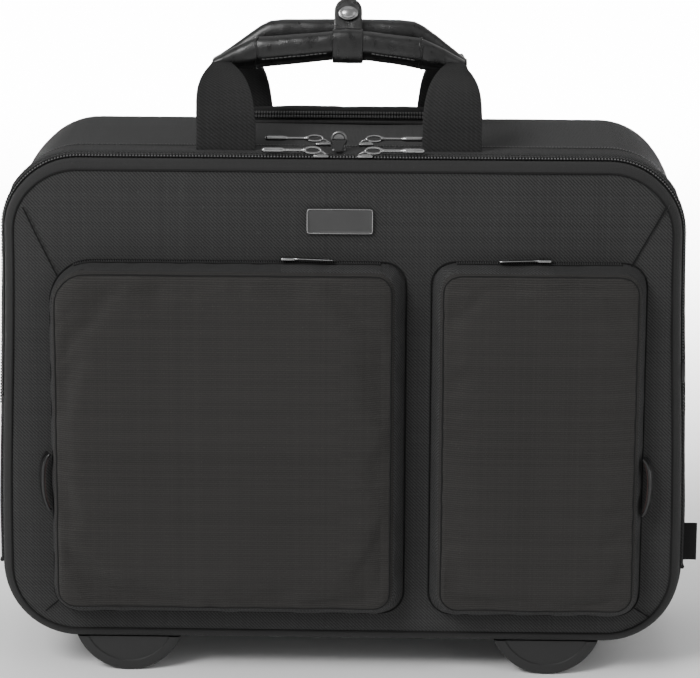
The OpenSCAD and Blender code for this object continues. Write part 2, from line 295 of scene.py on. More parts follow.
def along_outline(x, z):
    """Length along the body's outline to the place nearest to a point, for laying cloth."""
    w, h, r = BODY_W / 2 - CORNER_R, BODY_H / 2 - CORNER_R, CORNER_R
    dx, dz = x - BODY_MID[0], z - BODY_MID[1]
    quarter = math.pi / 2 * r
    sx, sz = abs(dx), abs(dz)
    if sx <= w:
        run = sx
    elif sz <= h:
        run = w + quarter + (h - sz)
    else:
        run = w + r * math.atan2(sx - w, sz - h)
    half = w + quarter + h
    if dz < 0 and sz > 0:
        run = 2 * half - run if sx > w or sz > h else run
    return math.copysign(run, dx)


# ---- laying the weave ----

def lay_cloth(piece, ring=False):
    """A map in metres: flat faces by their main direction, or round the outline."""
    mesh = piece.data
    layer = mesh.uv_layers.get("cloth") or mesh.uv_layers.new(name="cloth")
    mesh.uv_layers.active = layer
    for face in mesh.polygons:
        n = face.normal
        main = max(range(3), key=lambda i: abs(n[i]))
        for corner in face.loop_indices:
            p = mesh.vertices[mesh.loops[corner].vertex_index].co
            if ring and main != 1:
                uv = (along_outline(p.x, p.z), p.y)
            else:
                uv = ((p.y, p.z), (p.x, p.z), (p.x, p.y))[main]
            layer.data[corner].uv = uv
    return piece


# ---- shader groups ----

def socket(tree, name, kind, default=None, out=False):
    item = tree.interface.new_socket(name, in_out="OUTPUT" if out else "INPUT", socket_type=kind)
    if default is not None:
        item.default_value = default
    return item


def feed(tree, target, value):
    """Gives a shader input a plain value or another node's output."""
    if isinstance(value, (int, float, tuple)):
        target.default_value = value
    else:
        tree.links.new(value, target)


def math_node(tree, operation, a, b=None, c=None, clamp=False):
    node = tree.nodes.new("ShaderNodeMath")
    node.operation = operation
    node.use_clamp = clamp
    for target, value in zip(node.inputs, (a, b, c)):
        if value is not None:
            feed(tree, target, value)
    return node.outputs[0]


def mix_colour(tree, factor, a, b):
    node = tree.nodes.new("ShaderNodeMix")
    node.data_type = "RGBA"
    for index, value in ((0, factor), (6, a), (7, b)):
        feed(tree, node.inputs[index], value)
    return node.outputs[2]


def noise_node(tree, vector, scale, detail=2.0, rough=0.5):
    node = tree.nodes.new("ShaderNodeTexNoise")
    node.inputs["Scale"].default_value = scale
    node.inputs["Detail"].default_value = detail
    node.inputs["Roughness"].default_value = rough
    tree.links.new(vector, node.inputs["Vector"])
    return node.outputs["Fac"]


def weave_group():
    """Threads over and under each other. Repeat 2 is a plain weave, 4 a two-and-two twill."""
    tree = bpy.data.node_groups.new("Weave", "ShaderNodeTree")
    socket(tree, "Cloth", "NodeSocketVector")
    socket(tree, "Warp pitch", "NodeSocketFloat", 0.001)
    socket(tree, "Weft pitch", "NodeSocketFloat", 0.001)
    socket(tree, "Repeat", "NodeSocketFloat", 4.0)
    socket(tree, "Height", "NodeSocketFloat", out=True)
    socket(tree, "Thread", "NodeSocketFloat", out=True)
    socket(tree, "Top thread", "NodeSocketFloat", out=True)
    given = tree.nodes.new("NodeGroupInput")
    result = tree.nodes.new("NodeGroupOutput")
    split = tree.nodes.new("ShaderNodeSeparateXYZ")
    tree.links.new(given.outputs["Cloth"], split.inputs[0])
    u = math_node(tree, "DIVIDE", split.outputs[0], given.outputs["Warp pitch"])
    v = math_node(tree, "DIVIDE", split.outputs[1], given.outputs["Weft pitch"])
    column = math_node(tree, "FLOOR", u)
    row = math_node(tree, "FLOOR", v)
    step = math_node(tree, "ADD", column, row)
    place = math_node(tree, "FLOORED_MODULO", step, given.outputs["Repeat"])
    half = math_node(tree, "MULTIPLY", given.outputs["Repeat"], 0.5)
    warp_up = math_node(tree, "LESS_THAN", place, half)
    round_u, round_v = (
        math_node(tree, "ABSOLUTE", math_node(tree, "SINE", math_node(tree, "MULTIPLY", run, math.pi)))
        for run in (u, v))
    along_v = math_node(tree, "MULTIPLY_ADD", round_v, 0.35, 0.65)
    along_u = math_node(tree, "MULTIPLY_ADD", round_u, 0.35, 0.65)
    warp = math_node(tree, "MULTIPLY", round_u, along_v)
    weft = math_node(tree, "MULTIPLY", round_v, along_u)
    pick = tree.nodes.new("ShaderNodeMix")
    tree.links.new(warp_up, pick.inputs[0])
    tree.links.new(weft, pick.inputs[2])
    tree.links.new(warp, pick.inputs[3])
    index = tree.nodes.new("ShaderNodeCombineXYZ")
    tree.links.new(math_node(tree, "MULTIPLY", column, warp_up), index.inputs[0])
    low = math_node(tree, "SUBTRACT", 1.0, warp_up)
    tree.links.new(math_node(tree, "MULTIPLY", row, low), index.inputs[1])
    tree.links.new(warp_up, index.inputs[2])
    white = tree.nodes.new("ShaderNodeTexWhiteNoise")
    tree.links.new(index.outputs[0], white.inputs["Vector"])
    tree.links.new(pick.outputs[0], result.inputs["Height"])
    tree.links.new(white.outputs["Value"], result.inputs["Thread"])
    tree.links.new(warp_up, result.inputs["Top thread"])
    return tree


def handling_group():
    """Soft uneven tone and fine lint, from use and dust."""
    tree = bpy.data.node_groups.new("Handling", "ShaderNodeTree")
    socket(tree, "Place", "NodeSocketVector")
    socket(tree, "Patch size", "NodeSocketFloat", 9.0)
    socket(tree, "Patches", "NodeSocketFloat", out=True)
    socket(tree, "Lint", "NodeSocketFloat", out=True)
    given = tree.nodes.new("NodeGroupInput")
    result = tree.nodes.new("NodeGroupOutput")
    patches = tree.nodes.new("ShaderNodeTexNoise")
    patches.inputs["Detail"].default_value = 3.0
    tree.links.new(given.outputs["Place"], patches.inputs["Vector"])
    tree.links.new(given.outputs["Patch size"], patches.inputs["Scale"])
    lint = noise_node(tree, given.outputs["Place"], 900.0, 1.0)
    sharp = math_node(tree, "SUBTRACT", lint, 0.66)
    spots = math_node(tree, "MULTIPLY", sharp, 6.0, clamp=True)
    tree.links.new(patches.outputs["Fac"], result.inputs["Patches"])
    tree.links.new(spots, result.inputs["Lint"])
    return tree


def crease_group():
    """Leather: fine pebble grain, longer creases and a slack, uneven surface."""
    tree = bpy.data.node_groups.new("Creases", "ShaderNodeTree")
    socket(tree, "Place", "NodeSocketVector")
    socket(tree, "Grain size", "NodeSocketFloat", 700.0)
    socket(tree, "Height", "NodeSocketFloat", out=True)
    socket(tree, "Crease", "NodeSocketFloat", out=True)
    given = tree.nodes.new("NodeGroupInput")
    result = tree.nodes.new("NodeGroupOutput")
    cells = tree.nodes.new("ShaderNodeTexVoronoi")
    cells.feature = "DISTANCE_TO_EDGE"
    tree.links.new(given.outputs["Place"], cells.inputs["Vector"])
    tree.links.new(given.outputs["Grain size"], cells.inputs["Scale"])
    pebble = math_node(tree, "MINIMUM", cells.outputs["Distance"], 0.25)
    stretch = tree.nodes.new("ShaderNodeMapping")
    stretch.inputs["Scale"].default_value = (1.0, 2.2, 0.45)
    tree.links.new(given.outputs["Place"], stretch.inputs["Vector"])
    folds = noise_node(tree, stretch.outputs[0], 150.0, 4.0, 0.6)
    ridge = math_node(tree, "ABSOLUTE", math_node(tree, "SUBTRACT", folds, 0.5))
    ridge = math_node(tree, "MULTIPLY", ridge, 5.0, clamp=True)
    grain = math_node(tree, "MULTIPLY_ADD", ridge, 0.08, pebble)
    slack = noise_node(tree, stretch.outputs[0], 75.0, 1.5)
    tree.links.new(math_node(tree, "MULTIPLY_ADD", slack, 7.0, grain), result.inputs["Height"])
    tree.links.new(ridge, result.inputs["Crease"])
    return tree


WEAVE = weave_group()
HANDLING = handling_group()
CREASES = crease_group()


# ---- materials ----

def new_material(name, roughness, **constants):
    """A material with one Principled shader; constants go straight onto its sockets."""
    material = bpy.data.materials.new(name)
    material.use_nodes = True
    tree = material.node_tree
    shader = tree.nodes["Principled BSDF"]
    shader.inputs["Roughness"].default_value = roughness
    for key, value in constants.items():
        shader.inputs[key.replace("_", " ")].default_value = value
    return material, tree, shader


def use_group(tree, group, **values):
    node = tree.nodes.new("ShaderNodeGroup")
    node.node_tree = group
    for key, value in values.items():
        feed(tree, node.inputs[key.replace("_", " ")], value)
    return node


def bump(tree, height, distance, strength=1.0):
    node = tree.nodes.new("ShaderNodeBump")
    node.inputs["Strength"].default_value = strength
    node.inputs["Distance"].default_value = distance
    tree.links.new(height, node.inputs["Height"])
    return node.outputs[0]


def shade(value, tint=(1.0, 1.0, 1.0)):
    return (value * tint[0], value * tint[1], value * tint[2], 1.0)


def cloth(name, dark, light, warp, weft, repeat, height, tint=(1, 1, 1), roughness=0.85,
          sheen=0.03, patches=0.25, wale_highlight=0.0):
    """A woven cloth with its own threads, tone and lint, and painted light on its weave: shade between the
    threads and, by the given share, a highlight on the threads that lie on top.
    """
    material, tree, shader = new_material(
        name, roughness, Sheen_Weight=sheen, Sheen_Roughness=0.5, Specular_IOR_Level=0.1)
    coordinates = tree.nodes.new("ShaderNodeTexCoord")
    mapped = tree.nodes.new("ShaderNodeUVMap")
    mapped.uv_map = "cloth"
    weave = use_group(tree, WEAVE, Cloth=mapped.outputs[0], Warp_pitch=warp, Weft_pitch=weft,
                      Repeat=repeat)
    handling = use_group(tree, HANDLING, Place=coordinates.outputs["Object"])
    # Painted shade and highlight: colour follows the weave's height, darker in the gaps between threads and
    # lighter on their crowns.
    thread_relief_shade = math_node(tree, "MULTIPLY", weave.outputs["Height"], 0.8 - wale_highlight)
    # Painted highlight: the threads that lie on top are lightened to show the twill's diagonal wales.
    lift = math_node(tree, "MULTIPLY_ADD", weave.outputs["Top thread"], wale_highlight, thread_relief_shade)
    thread_tone_and_shade = math_node(tree, "MULTIPLY_ADD", weave.outputs["Thread"], 0.2, lift)
    base = mix_colour(tree, thread_tone_and_shade, shade(dark, tint), shade(light, tint))
    uneven = math_node(tree, "MULTIPLY", handling.outputs["Patches"], patches)
    toned = mix_colour(tree, uneven, base, shade(light * 1.15, tint))
    linted = mix_colour(tree, math_node(tree, "MULTIPLY", handling.outputs["Lint"], 0.25),
                        toned, shade(light * 2.2, tint))
    tree.links.new(linted, shader.inputs["Base Color"])
    rough = math_node(tree, "MULTIPLY_ADD", weave.outputs["Height"], -0.12, roughness)
    tree.links.new(rough, shader.inputs["Roughness"])
    tree.links.new(bump(tree, weave.outputs["Height"], height), shader.inputs["Normal"])
    return material


def moulded(name, tone, roughness, grain=1400.0, depth=0.00006, coat=0.0, tint=(1, 1, 1)):
    """Moulded plastic or rubber with a fine eroded surface."""
    material, tree, shader = new_material(name, roughness, Coat_Weight=coat, Specular_IOR_Level=0.4)
    coordinates = tree.nodes.new("ShaderNodeTexCoord")
    place = coordinates.outputs["Object"]
    handling = use_group(tree, HANDLING, Place=place, Patch_size=14.0)
    grain_value = noise_node(tree, place, grain, 2.0)
    tone_mask = math_node(tree, "MULTIPLY", handling.outputs["Patches"], 0.8)
    base = mix_colour(tree, tone_mask, shade(tone * 0.8, tint), shade(tone * 1.25, tint))
    dusty = mix_colour(tree, math_node(tree, "MULTIPLY", handling.outputs["Lint"], 0.2),
                       base, shade(min(tone * 4, 0.5)))
    tree.links.new(dusty, shader.inputs["Base Color"])
    rough = math_node(tree, "MULTIPLY_ADD", handling.outputs["Patches"], 0.16, roughness - 0.08)
    tree.links.new(rough, shader.inputs["Roughness"])
    tree.links.new(bump(tree, grain_value, depth), shader.inputs["Normal"])
    return material


def metal(name, tone, roughness, brushed=None):
    """Metal with faint marks; brushed gives the direction that its lines run."""
    material, tree, shader = new_material(name, roughness, Metallic=1.0)
    coordinates = tree.nodes.new("ShaderNodeTexCoord")
    stretch = tree.nodes.new("ShaderNodeMapping")
    stretch.inputs["Scale"].default_value = brushed or (1.0, 1.0, 1.0)
    tree.links.new(coordinates.outputs["Object"], stretch.inputs["Vector"])
    lines = noise_node(tree, stretch.outputs[0], 900.0, 3.0)
    smear = noise_node(tree, coordinates.outputs["Object"], 60.0, 3.0)
    tree.links.new(mix_colour(tree, smear, shade(tone * 0.82), shade(tone * 1.1)),
                   shader.inputs["Base Color"])
    rough = math_node(tree, "MULTIPLY_ADD", smear, 0.2, roughness - 0.1)
    tree.links.new(rough, shader.inputs["Roughness"])
    tree.links.new(bump(tree, lines, 0.00002), shader.inputs["Normal"])
    return material


def leather_material():
    """Near-black leather under a thin gloss, with painted shade darkening it along its creases."""
    material, tree, shader = new_material("Glossy leather", 0.3, Specular_IOR_Level=0.4,
                                          Coat_Weight=0.1, Coat_Roughness=0.2)
    coordinates = tree.nodes.new("ShaderNodeTexCoord")
    place = coordinates.outputs["Object"]
    creases = use_group(tree, CREASES, Place=place)
    # Painted shade: the base colour darkens where the crease mask is high.
    base = mix_colour(tree, creases.outputs["Crease"], shade(0.008), shade(0.003))
    tree.links.new(base, shader.inputs["Base Color"])
    rough = math_node(tree, "MULTIPLY_ADD", creases.outputs["Crease"], -0.12, 0.36)
    tree.links.new(rough, shader.inputs["Roughness"])
    tree.links.new(bump(tree, creases.outputs["Height"], 0.00022, 0.8), shader.inputs["Normal"])
    return material


# The cloths below carry painted shade between their threads; the twill and the webbing also carry a painted
# highlight on their top threads.
TWILL = cloth("Coarse twill", 0.002, 0.070, 0.00056, 0.00056, 4, 0.0005, wale_highlight=0.5)
RIB = cloth("Fine rib cloth", 0.005, 0.045, 0.0005, 0.0014, 2, 0.0004, tint=(1.04, 1.0, 0.96))
SMOOTH = cloth("Smooth binding cloth", 0.014, 0.030, 0.0006, 0.0006, 2, 0.00012)
TOP_CLOTH = cloth("Top panel cloth", 0.008, 0.046, 0.0009, 0.0009, 2, 0.00025)
COVER_CLOTH = cloth("Cover cloth", 0.004, 0.020, 0.0009, 0.0009, 2, 0.00025)
WEB = cloth("Handle webbing", 0.002, 0.038, 0.0008, 0.0006, 4, 0.0005, wale_highlight=0.4)
TAPE = cloth("Zip tape", 0.003, 0.010, 0.0007, 0.0007, 4, 0.0002)
LINING = cloth("Lining", 0.05, 0.09, 0.0006, 0.0006, 2, 0.0001, roughness=0.7)
MESH = cloth("Back mesh", 0.006, 0.026, 0.0024, 0.0024, 2, 0.0007)
LABEL = cloth("Woven label", 0.004, 0.010, 0.0005, 0.0008, 2, 0.00015, roughness=0.6)
LEATHER = leather_material()
THREAD = moulded("Thread", 0.012, 0.6, 2600.0, 0.00004)
PALE_THREAD = moulded("Grip thread", 0.05, 0.5, 2600.0, 0.00004)
# Painted highlight: the two lighter coils are copies of the dark coil, for the lid zip's front row and the
# upturned cover zip, which catch light.
LIT_COIL = moulded("Zip coil highlight", 0.10, 0.32, 1500.0, 0.00002)
HIGHLIT_COVER_COIL = moulded("Cover zip coil highlight", 0.05, 0.4, 1500.0, 0.00002)
DARK_COIL = moulded("Dark zip coil", 0.016, 0.45, 1500.0, 0.00002)
# Painted shade: near-black cords laid along the sunk seams stand in for the shade in their grooves.
SEAM_SHADE = moulded("Sunk seam shade", 0.0015, 0.9, 1500.0, 0.00002)
MOULDED = moulded("Moulded black", 0.012, 0.5)
FOOT_PLASTIC = moulded("Foot plastic", 0.012, 0.6)
RUBBER = moulded("Tyre rubber", 0.010, 0.72, 1000.0, 0.00008)
HUB_PLASTIC = moulded("Hub plastic", 0.08, 0.42)
GUNMETAL = metal("Gunmetal", 0.30, 0.24)
DARK_METAL = metal("Dark gunmetal", 0.16, 0.3)
PLATE_METAL = metal("Plate metal", 0.075, 0.34, (1.0, 1.0, 14.0))
TUBE_METAL = metal("Brushed tube", 0.55, 0.32, (14.0, 14.0, 0.6))
STEEL = metal("Steel", 0.5, 0.3)
BOARD = moulded("Board", 0.03, 0.7)
LOOP_LINING = moulded("Loop lining", 0.02, 0.5, tint=(1.7, 0.75, 0.65))


def give(piece, material, body=None):
    """Material and body in one call."""
    piece.data.materials.clear()
    piece.data.materials.append(material)
    if body:
        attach(piece, body)
    return piece


# ---- shapes that repeat ----

def grid_panel(name, width, height, radius, centre, rings, profile):
    """A sheet facing the front that follows a rounded rectangle.

    profile(t) gives (share of the outline, inset, y) for t from 0 in the middle to 1 at the rim.
    """
    bpy.ops.object.select_all(action="DESELECT")
    bpy.ops.mesh.primitive_grid_add(x_subdivisions=rings, y_subdivisions=rings, size=2,
                                    location=(0, 0, 0), rotation=(math.pi / 2, 0, 0))
    piece = named(name)

    def place(p):
        t = max(abs(p.x), abs(p.z))
        share, inset, y = profile(t)
        if t < 1e-6:
            return Vector((centre[0], y, centre[1]))
        if abs(p.x) >= abs(p.z):
            side, f = (0, p.z / t) if p.x > 0 else (2, -p.z / t)
        else:
            side, f = (1, -p.x / t) if p.z > 0 else (3, p.x / t)
        q, _ = outline_point(side, f, width - 2 * inset, height - 2 * inset, max(radius - inset, 1e-4))
        return Vector((centre[0] + q[0] * share, y, centre[1] + q[1] * share))

    return move_points(piece, place)


def band(name, y0, y1, out=0.0, low=None, high=None, cuts=6, crown=0.0, thick=WALL, step=6 * MM,
         lift=None):
    """A cloth band round the body between two depths, standing out by `out`.

    lift(p, n) gives how far each point then moves outwards; low and high trim it by height.
    """
    w, h, r = BODY_W + 2 * out, BODY_H + 2 * out, CORNER_R + out
    piece = block(name, (-w / 2, y0, BASE_Z - out), (w / 2, y1, TOP_Z + out))
    pick_edges(piece, lambda a, b: abs(a.y - b.y) > 1e-6)
    shape(piece, (bpy.ops.mesh.bevel, {"offset": r, "segments": 16, "affect": "EDGES"}))
    pick_faces(piece, lambda c, n: abs(n.y) > 0.9)
    shape(piece, (bpy.ops.mesh.delete, {"type": "FACE"}))
    for axis, length in ((0, w - 2 * r), (2, h - 2 * r)):
        pick_edges(piece, lambda a, b: abs(a[axis] - b[axis]) > length * 0.9)
        shape(piece, (bpy.ops.mesh.subdivide, {"number_cuts": max(1, int(length / step))}))
    pick_edges(piece, lambda a, b: abs(a.y - b.y) > 1e-6)
    shape(piece, (bpy.ops.mesh.subdivide, {"number_cuts": cuts}))
    for level, keep_above in ((low, True), (high, False)):
        if level is None:
            continue
        clear_picks(piece)
        shape(piece,
              (bpy.ops.mesh.select_all, {"action": "SELECT"}),
              (bpy.ops.mesh.bisect, {"plane_co": (0, 0, level), "plane_no": (0, 0, 1),
                                     "clear_inner": keep_above, "clear_outer": not keep_above}))
    half = (y1 - y0) / 2
    middle = (y0 + y1) / 2

    def swell(p):
        n = body_normal(p.x, p.z)
        if lift:
            amount = lift(p, n)
        else:
            across = 1 - ((p.y - middle) / half) ** 2
            amount = crown * across + soft_wave(p, 0.35 * MM) * across
        return flare(Vector((p.x + n[0] * amount, p.y, p.z + n[1] * amount)))

    move_points(piece, swell)
    outward(piece)
    if thick:
        finish_with(piece, "SOLIDIFY", thickness=thick, offset=-1.0)
    return smooth(lay_cloth(piece, ring=True), 50)


def flare(p):
    """The soft case is a little wider near its foot than at its top."""
    wider = (-1.6 + 4.6 * ease((290 * MM - p.z) / (200 * MM))) * MM
    front = ease((-69 * MM - p.y) / (5 * MM))
    wider -= 2.6 * MM * front
    drop = 1.6 * MM * front * ease((p.z - 300 * MM) / (30 * MM))
    return Vector((p.x * (1 + wider / (BODY_W / 2)), p.y, p.z - drop))


def body_normal(x, z):
    """Outward direction from the body's outline at a point."""
    dx = x - BODY_MID[0]
    dz = z - BODY_MID[1]
    qx = max(abs(dx) - (BODY_W / 2 - CORNER_R), 0.0)
    qz = max(abs(dz) - (BODY_H / 2 - CORNER_R), 0.0)
    length = math.hypot(qx, qz)
    if length < 1e-9:
        return (0.0, 0.0)
    return (math.copysign(qx / length, dx), math.copysign(qz / length, dz))


def soft_wave(p, size, scale=22.0):
    """A gentle unevenness of the cloth, the same at each run."""
    return noise.noise(Vector((p.x * scale, p.y * scale, p.z * scale))) * size


def cord_tube(name, points, radius, sides=8, closed=False):
    """A thin round cord, such as piping, along points, as a mesh."""
    curve = bpy.data.curves.new(name, "CURVE")
    curve.dimensions = "3D"
    curve.bevel_depth = radius
    curve.bevel_resolution = max(0, sides // 4 - 1)
    curve.use_fill_caps = not closed
    spline = curve.splines.new("POLY")
    spline.points.add(len(points) - 1)
    for point, place in zip(spline.points, points):
        point.co = (*place, 1.0)
    spline.use_cyclic_u = closed
    piece = bpy.data.objects.new(name, curve)
    bpy.context.scene.collection.objects.link(piece)
    only(piece)
    bpy.ops.object.convert(target="MESH")
    piece = bpy.context.object
    piece.data.name = name
    all_smooth(piece.data)
    return piece


def scatter(name, bead, places):
    """One piece made of many copies of a small shape, each placed by a matrix."""
    work = bmesh.new()
    for place in places:
        part = bead.data.copy()
        part.transform(place)
        work.from_mesh(part)
        bpy.data.meshes.remove(part)
    mesh = bpy.data.meshes.new(name)
    work.to_mesh(mesh)
    work.free()
    piece = bpy.data.objects.new(name, mesh)
    bpy.context.scene.collection.objects.link(piece)
    bpy.data.objects.remove(bead)
    all_smooth(mesh)
    return piece


def stitch_bead(length, radius):
    """One sewn stitch: a short rod lying along X, narrowed at both ends."""
    bpy.ops.object.select_all(action="DESELECT")
    bpy.ops.mesh.primitive_cylinder_add(vertices=6, radius=radius, depth=length, location=(0, 0, 0),
                                        rotation=(0, math.pi / 2, 0))
    bead = named("bead")
    pick_faces(bead, lambda c, n: abs(n.x) > 0.9)
    shape(bead, (bpy.ops.mesh.inset, {"thickness": radius * 0.5, "depth": radius * 0.4}))
    return bead


def basis(place, along, up):
    """A matrix that puts X along one direction and Z near another."""
    x = Vector(along).normalized()
    y = Vector(up).cross(x).normalized()
    z = x.cross(y)
    m = Matrix((x, y, z)).transposed().to_4x4()
    m.translation = Vector(place)
    return m


def stitches(name, points, ups, pitch=3.2 * MM, radius=0.28 * MM, length=2.3 * MM):
    """A row of stitches along a line of points, each with the direction that faces out."""
    places = []
    run = 0.0
    due = pitch / 2
    for a, b, up in zip(points[:-1], points[1:], ups):
        a, b = Vector(a), Vector(b)
        step = (b - a).length
        while due <= run + step and step > 0:
            places.append(basis(a.lerp(b, (due - run) / step), b - a, up))
            due += pitch
        run += step
    return give(scatter(name, stitch_bead(length, radius), places), THREAD)


def ring_points(y, out, low=None, step=4 * MM):
    """Points round the body's outline at one depth, with normals, above a height."""
    path = outline_path(BODY_W + 2 * out, BODY_H + 2 * out, CORNER_R + out, BODY_MID, step)
    return [(flare(Vector((p.x, y, p.y))), Vector((n.x, 0, n.y))) for p, n in path
            if low is None or p.y > low]


def mm(*values):
    return tuple(v * MM for v in values)


def ease(t):
    t = min(max(t, 0.0), 1.0)
    return t * t * (3 - 2 * t)


def between(value, stations):
    """Values at a place along stations (place, value, value, ...), joined by straight runs."""
    if value <= stations[0][0]:
        return stations[0][1:]
    for a, b in zip(stations[:-1], stations[1:]):
        if value <= b[0]:
            t = (value - a[0]) / (b[0] - a[0])
            return tuple(p + (q - p) * t for p, q in zip(a[1:], b[1:]))
    return stations[-1][1:]


def smooth_path(points, count):
    """Evenly spaced points on a soft curve through the given ones."""
    fine = []
    for i in range(len(points) - 1):
        p = [Vector(points[max(0, min(len(points) - 1, i + k))]) for k in (-1, 0, 1, 2)]
        for k in range(12):
            t = k / 12
            fine.append(0.5 * (2 * p[1] + (p[2] - p[0]) * t
                               + (2 * p[0] - 5 * p[1] + 4 * p[2] - p[3]) * t * t
                               + (3 * p[1] - p[0] - 3 * p[2] + p[3]) * t ** 3))
    fine.append(Vector(points[-1]))
    lengths = [0.0]
    for a, b in zip(fine[:-1], fine[1:]):
        lengths.append(lengths[-1] + (b - a).length)
    found = []
    k = 0
    for i in range(count):
        want = lengths[-1] * i / (count - 1)
        while k < len(fine) - 2 and lengths[k + 1] < want:
            k += 1
        span = lengths[k + 1] - lengths[k] or 1.0
        found.append(fine[k].lerp(fine[k + 1], min(max((want - lengths[k]) / span, 0), 1)))
    return found


def strap(name, centres, across, half_widths, thick, columns=6, wave=0.0):
    """A flat strap along centres; across and half_widths give its width at each centre."""
    bpy.ops.object.select_all(action="DESELECT")
    bpy.ops.mesh.primitive_grid_add(x_subdivisions=columns, y_subdivisions=len(centres) - 1,
                                    size=2, location=(0, 0, 0))
    piece = named(name)
    last = len(centres) - 1
    layer = piece.data.uv_layers.new(name="cloth")
    runs = [0.0]
    for a, b in zip(centres[:-1], centres[1:]):
        runs.append(runs[-1] + (Vector(b) - Vector(a)).length)
    for corner, loop in zip(layer.data, piece.data.loops):
        p = piece.data.vertices[loop.vertex_index].co
        i = round((p.y + 1) / 2 * last)
        corner.uv = (p.x * half_widths[0], runs[i])

    def place(p):
        i = round((p.y + 1) / 2 * last)
        c = Vector(centres[i]) + Vector(across[i]) * (p.x * half_widths[i])
        return c + Vector((0, noise.noise(c * 40) * wave, 0))

    move_points(piece, place)
    piece.data.uv_layers.active = layer
    finish_with(piece, "SOLIDIFY", thickness=thick, offset=0.0)
    return smooth(round_off(piece, thick * 0.3, 2, 60), 45)


def loft(name, stations, sides=28, rings=60, section=None, wave=0.0):
    """A soft tube along X from stations (x, y, z, half depth, half height)."""
    x0, x1 = stations[0][0], stations[-1][0]
    bpy.ops.object.select_all(action="DESELECT")
    bpy.ops.mesh.primitive_cylinder_add(vertices=sides, radius=1, depth=2, location=(0, 0, 0),
                                        rotation=(0, math.pi / 2, 0))
    piece = named(name)
    pick_edges(piece, lambda a, b: abs(a.x - b.x) > 1)
    shape(piece, (bpy.ops.mesh.subdivide, {"number_cuts": rings}))

    def place(p):
        x = x0 + (p.x + 1) / 2 * (x1 - x0)
        y, z, depth, height = between(x, stations)
        a = math.atan2(p.z, p.y)
        c, k = (section or round_section)(a)
        q = Vector((x, y + c * depth, z + k * height))
        return q + Vector((0, noise.noise(q * 55), noise.noise(q * 55 + Vector((9, 9, 9))))) * wave

    move_points(piece, place)
    return smooth(piece, 50)


def round_section(a):
    """A slightly squared oval."""
    return (math.copysign(abs(math.cos(a)) ** 0.8, math.cos(a)),
            math.copysign(abs(math.sin(a)) ** 0.8, math.sin(a)))


def puff(piece, sewn, voxel=5 * MM, pressure=4.0, cap=5 * MM, frames=16, slack=0.02):
    """Cloth over a soft filling: the sewn points stay, the rest fills out and buckles a little."""
    finish_with(piece, "REMESH", mode="VOXEL", voxel_size=voxel)
    settle(piece, sewn, pressure, cap, frames, slack)
    finish_with(piece, "SUBSURF", levels=1)
    return smooth(piece, 60)


def settle(piece, sewn, pressure, cap, frames, slack):
    """Runs the cloth, then holds back each point that moved further than cap."""
    before = [v.co.copy() for v in piece.data.vertices]
    held = piece.vertex_groups.new(name="Sewn")
    held.add([v.index for v in piece.data.vertices if sewn(v.co)], 1.0, "ADD")
    settling = piece.modifiers.new("Cloth", "CLOTH")
    cloth_settings = settling.settings
    cloth_settings.quality = 4
    cloth_settings.mass = 0.2
    cloth_settings.tension_stiffness = 20
    cloth_settings.compression_stiffness = 20
    cloth_settings.bending_stiffness = 1.0
    cloth_settings.shrink_min = -slack
    cloth_settings.use_pressure = True
    cloth_settings.uniform_pressure_force = pressure
    cloth_settings.vertex_group_mass = "Sewn"
    cloth_settings.effector_weights.gravity = 0.0
    settling.collision_settings.use_collision = False
    for frame_number in range(1, frames + 1):
        bpy.context.scene.frame_set(frame_number)
    only(piece)
    bpy.ops.object.modifier_apply(modifier=settling.name)
    bpy.context.scene.frame_set(1)
    for vertex, start in zip(piece.data.vertices, before):
        moved = vertex.co - start
        if moved.length > cap:
            vertex.co = start + moved * (cap / moved.length)
    piece.vertex_groups.clear()


def on_surface(piece, points, lift=0.0):
    """Points moved onto a piece's surface, then out by lift; with the directions out."""
    found, ups = [], []
    for p in points:
        hit, place, normal, _ = piece.closest_point_on_mesh(Vector(p))
        found.append(place + normal * lift)
        ups.append(normal.copy())
    return found, ups


# ---- zips ----

def zip_row(name, line, ups, across, tape_half, pitch=2.0 * MM, tooth=0.62 * MM, coil=DARK_COIL):
    """One half of a zip: a woven tape edge and its row of coil teeth."""
    tape = strap(name + "_tape", line, across, [tape_half] * len(line), 0.7 * MM, 2)
    places = []
    run, due = 0.0, 0.0
    for a, b, up, side in zip(line[:-1], line[1:], ups, across):
        step = (b - a).length
        while step > 0 and due <= run + step:
            centre = a.lerp(b, (due - run) / step) + Vector(up) * tooth * 0.9
            places.append(basis(centre, side, up))
            due += pitch
        run += step
    teeth = scatter(name, stitch_bead(tape_half * 1.5, tooth), places)
    teeth.data.materials.append(coil)
    tape.data.materials.append(TAPE)
    return joined(name, [teeth, tape])


def body_zip(name, node, y, out, low, body, coil=DARK_COIL):
    """A zip's half that runs over the body at one depth, down to a height on both sides."""
    ring = ring_points(y, out, low)
    line = [p for p, _ in ring]
    ups = [n for _, n in ring]
    across = [Vector((0, 1, 0))] * len(line)
    piece = zip_row(name, line, ups, across, 1.1 * MM, coil=coil)
    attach(piece, body)
    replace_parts(piece, node)
    return piece


# ---- the shell ----

def back_rounding(p):
    """How far the shell turns in over its last centimetre, at the back."""
    past = (p.y - (BACK_Y - 14 * MM)) / (10 * MM)
    if past <= 0:
        return 0.0
    return 10 * MM * (1 - math.sqrt(max(0.0, 1 - min(past, 1) ** 2)))


def shell_lift(p, n):
    """The rear shell rises to the back on top, swells at the sides and rounds off behind."""
    t = (p.y - SPLIT_Y) / (BACK_Y - SPLIT_Y)
    over_cover = ease((abs(p.x) - 78 * MM) / (14 * MM)) if p.y > 60 * MM else 1.0
    top = n[1] if n[1] > 0.3 else 0.0
    side = abs(n[0])
    rise = 5 * MM * ease(t * 1.15) * top * over_cover
    swell = 1.2 * MM * math.sin(math.pi * min(max(t, 0), 1)) * side
    rounding = back_rounding(p) * (over_cover if top else 1.0)
    return rise + swell + soft_wave(p, 0.7 * MM) * math.sin(math.pi * min(max(t, 0), 1)) - rounding


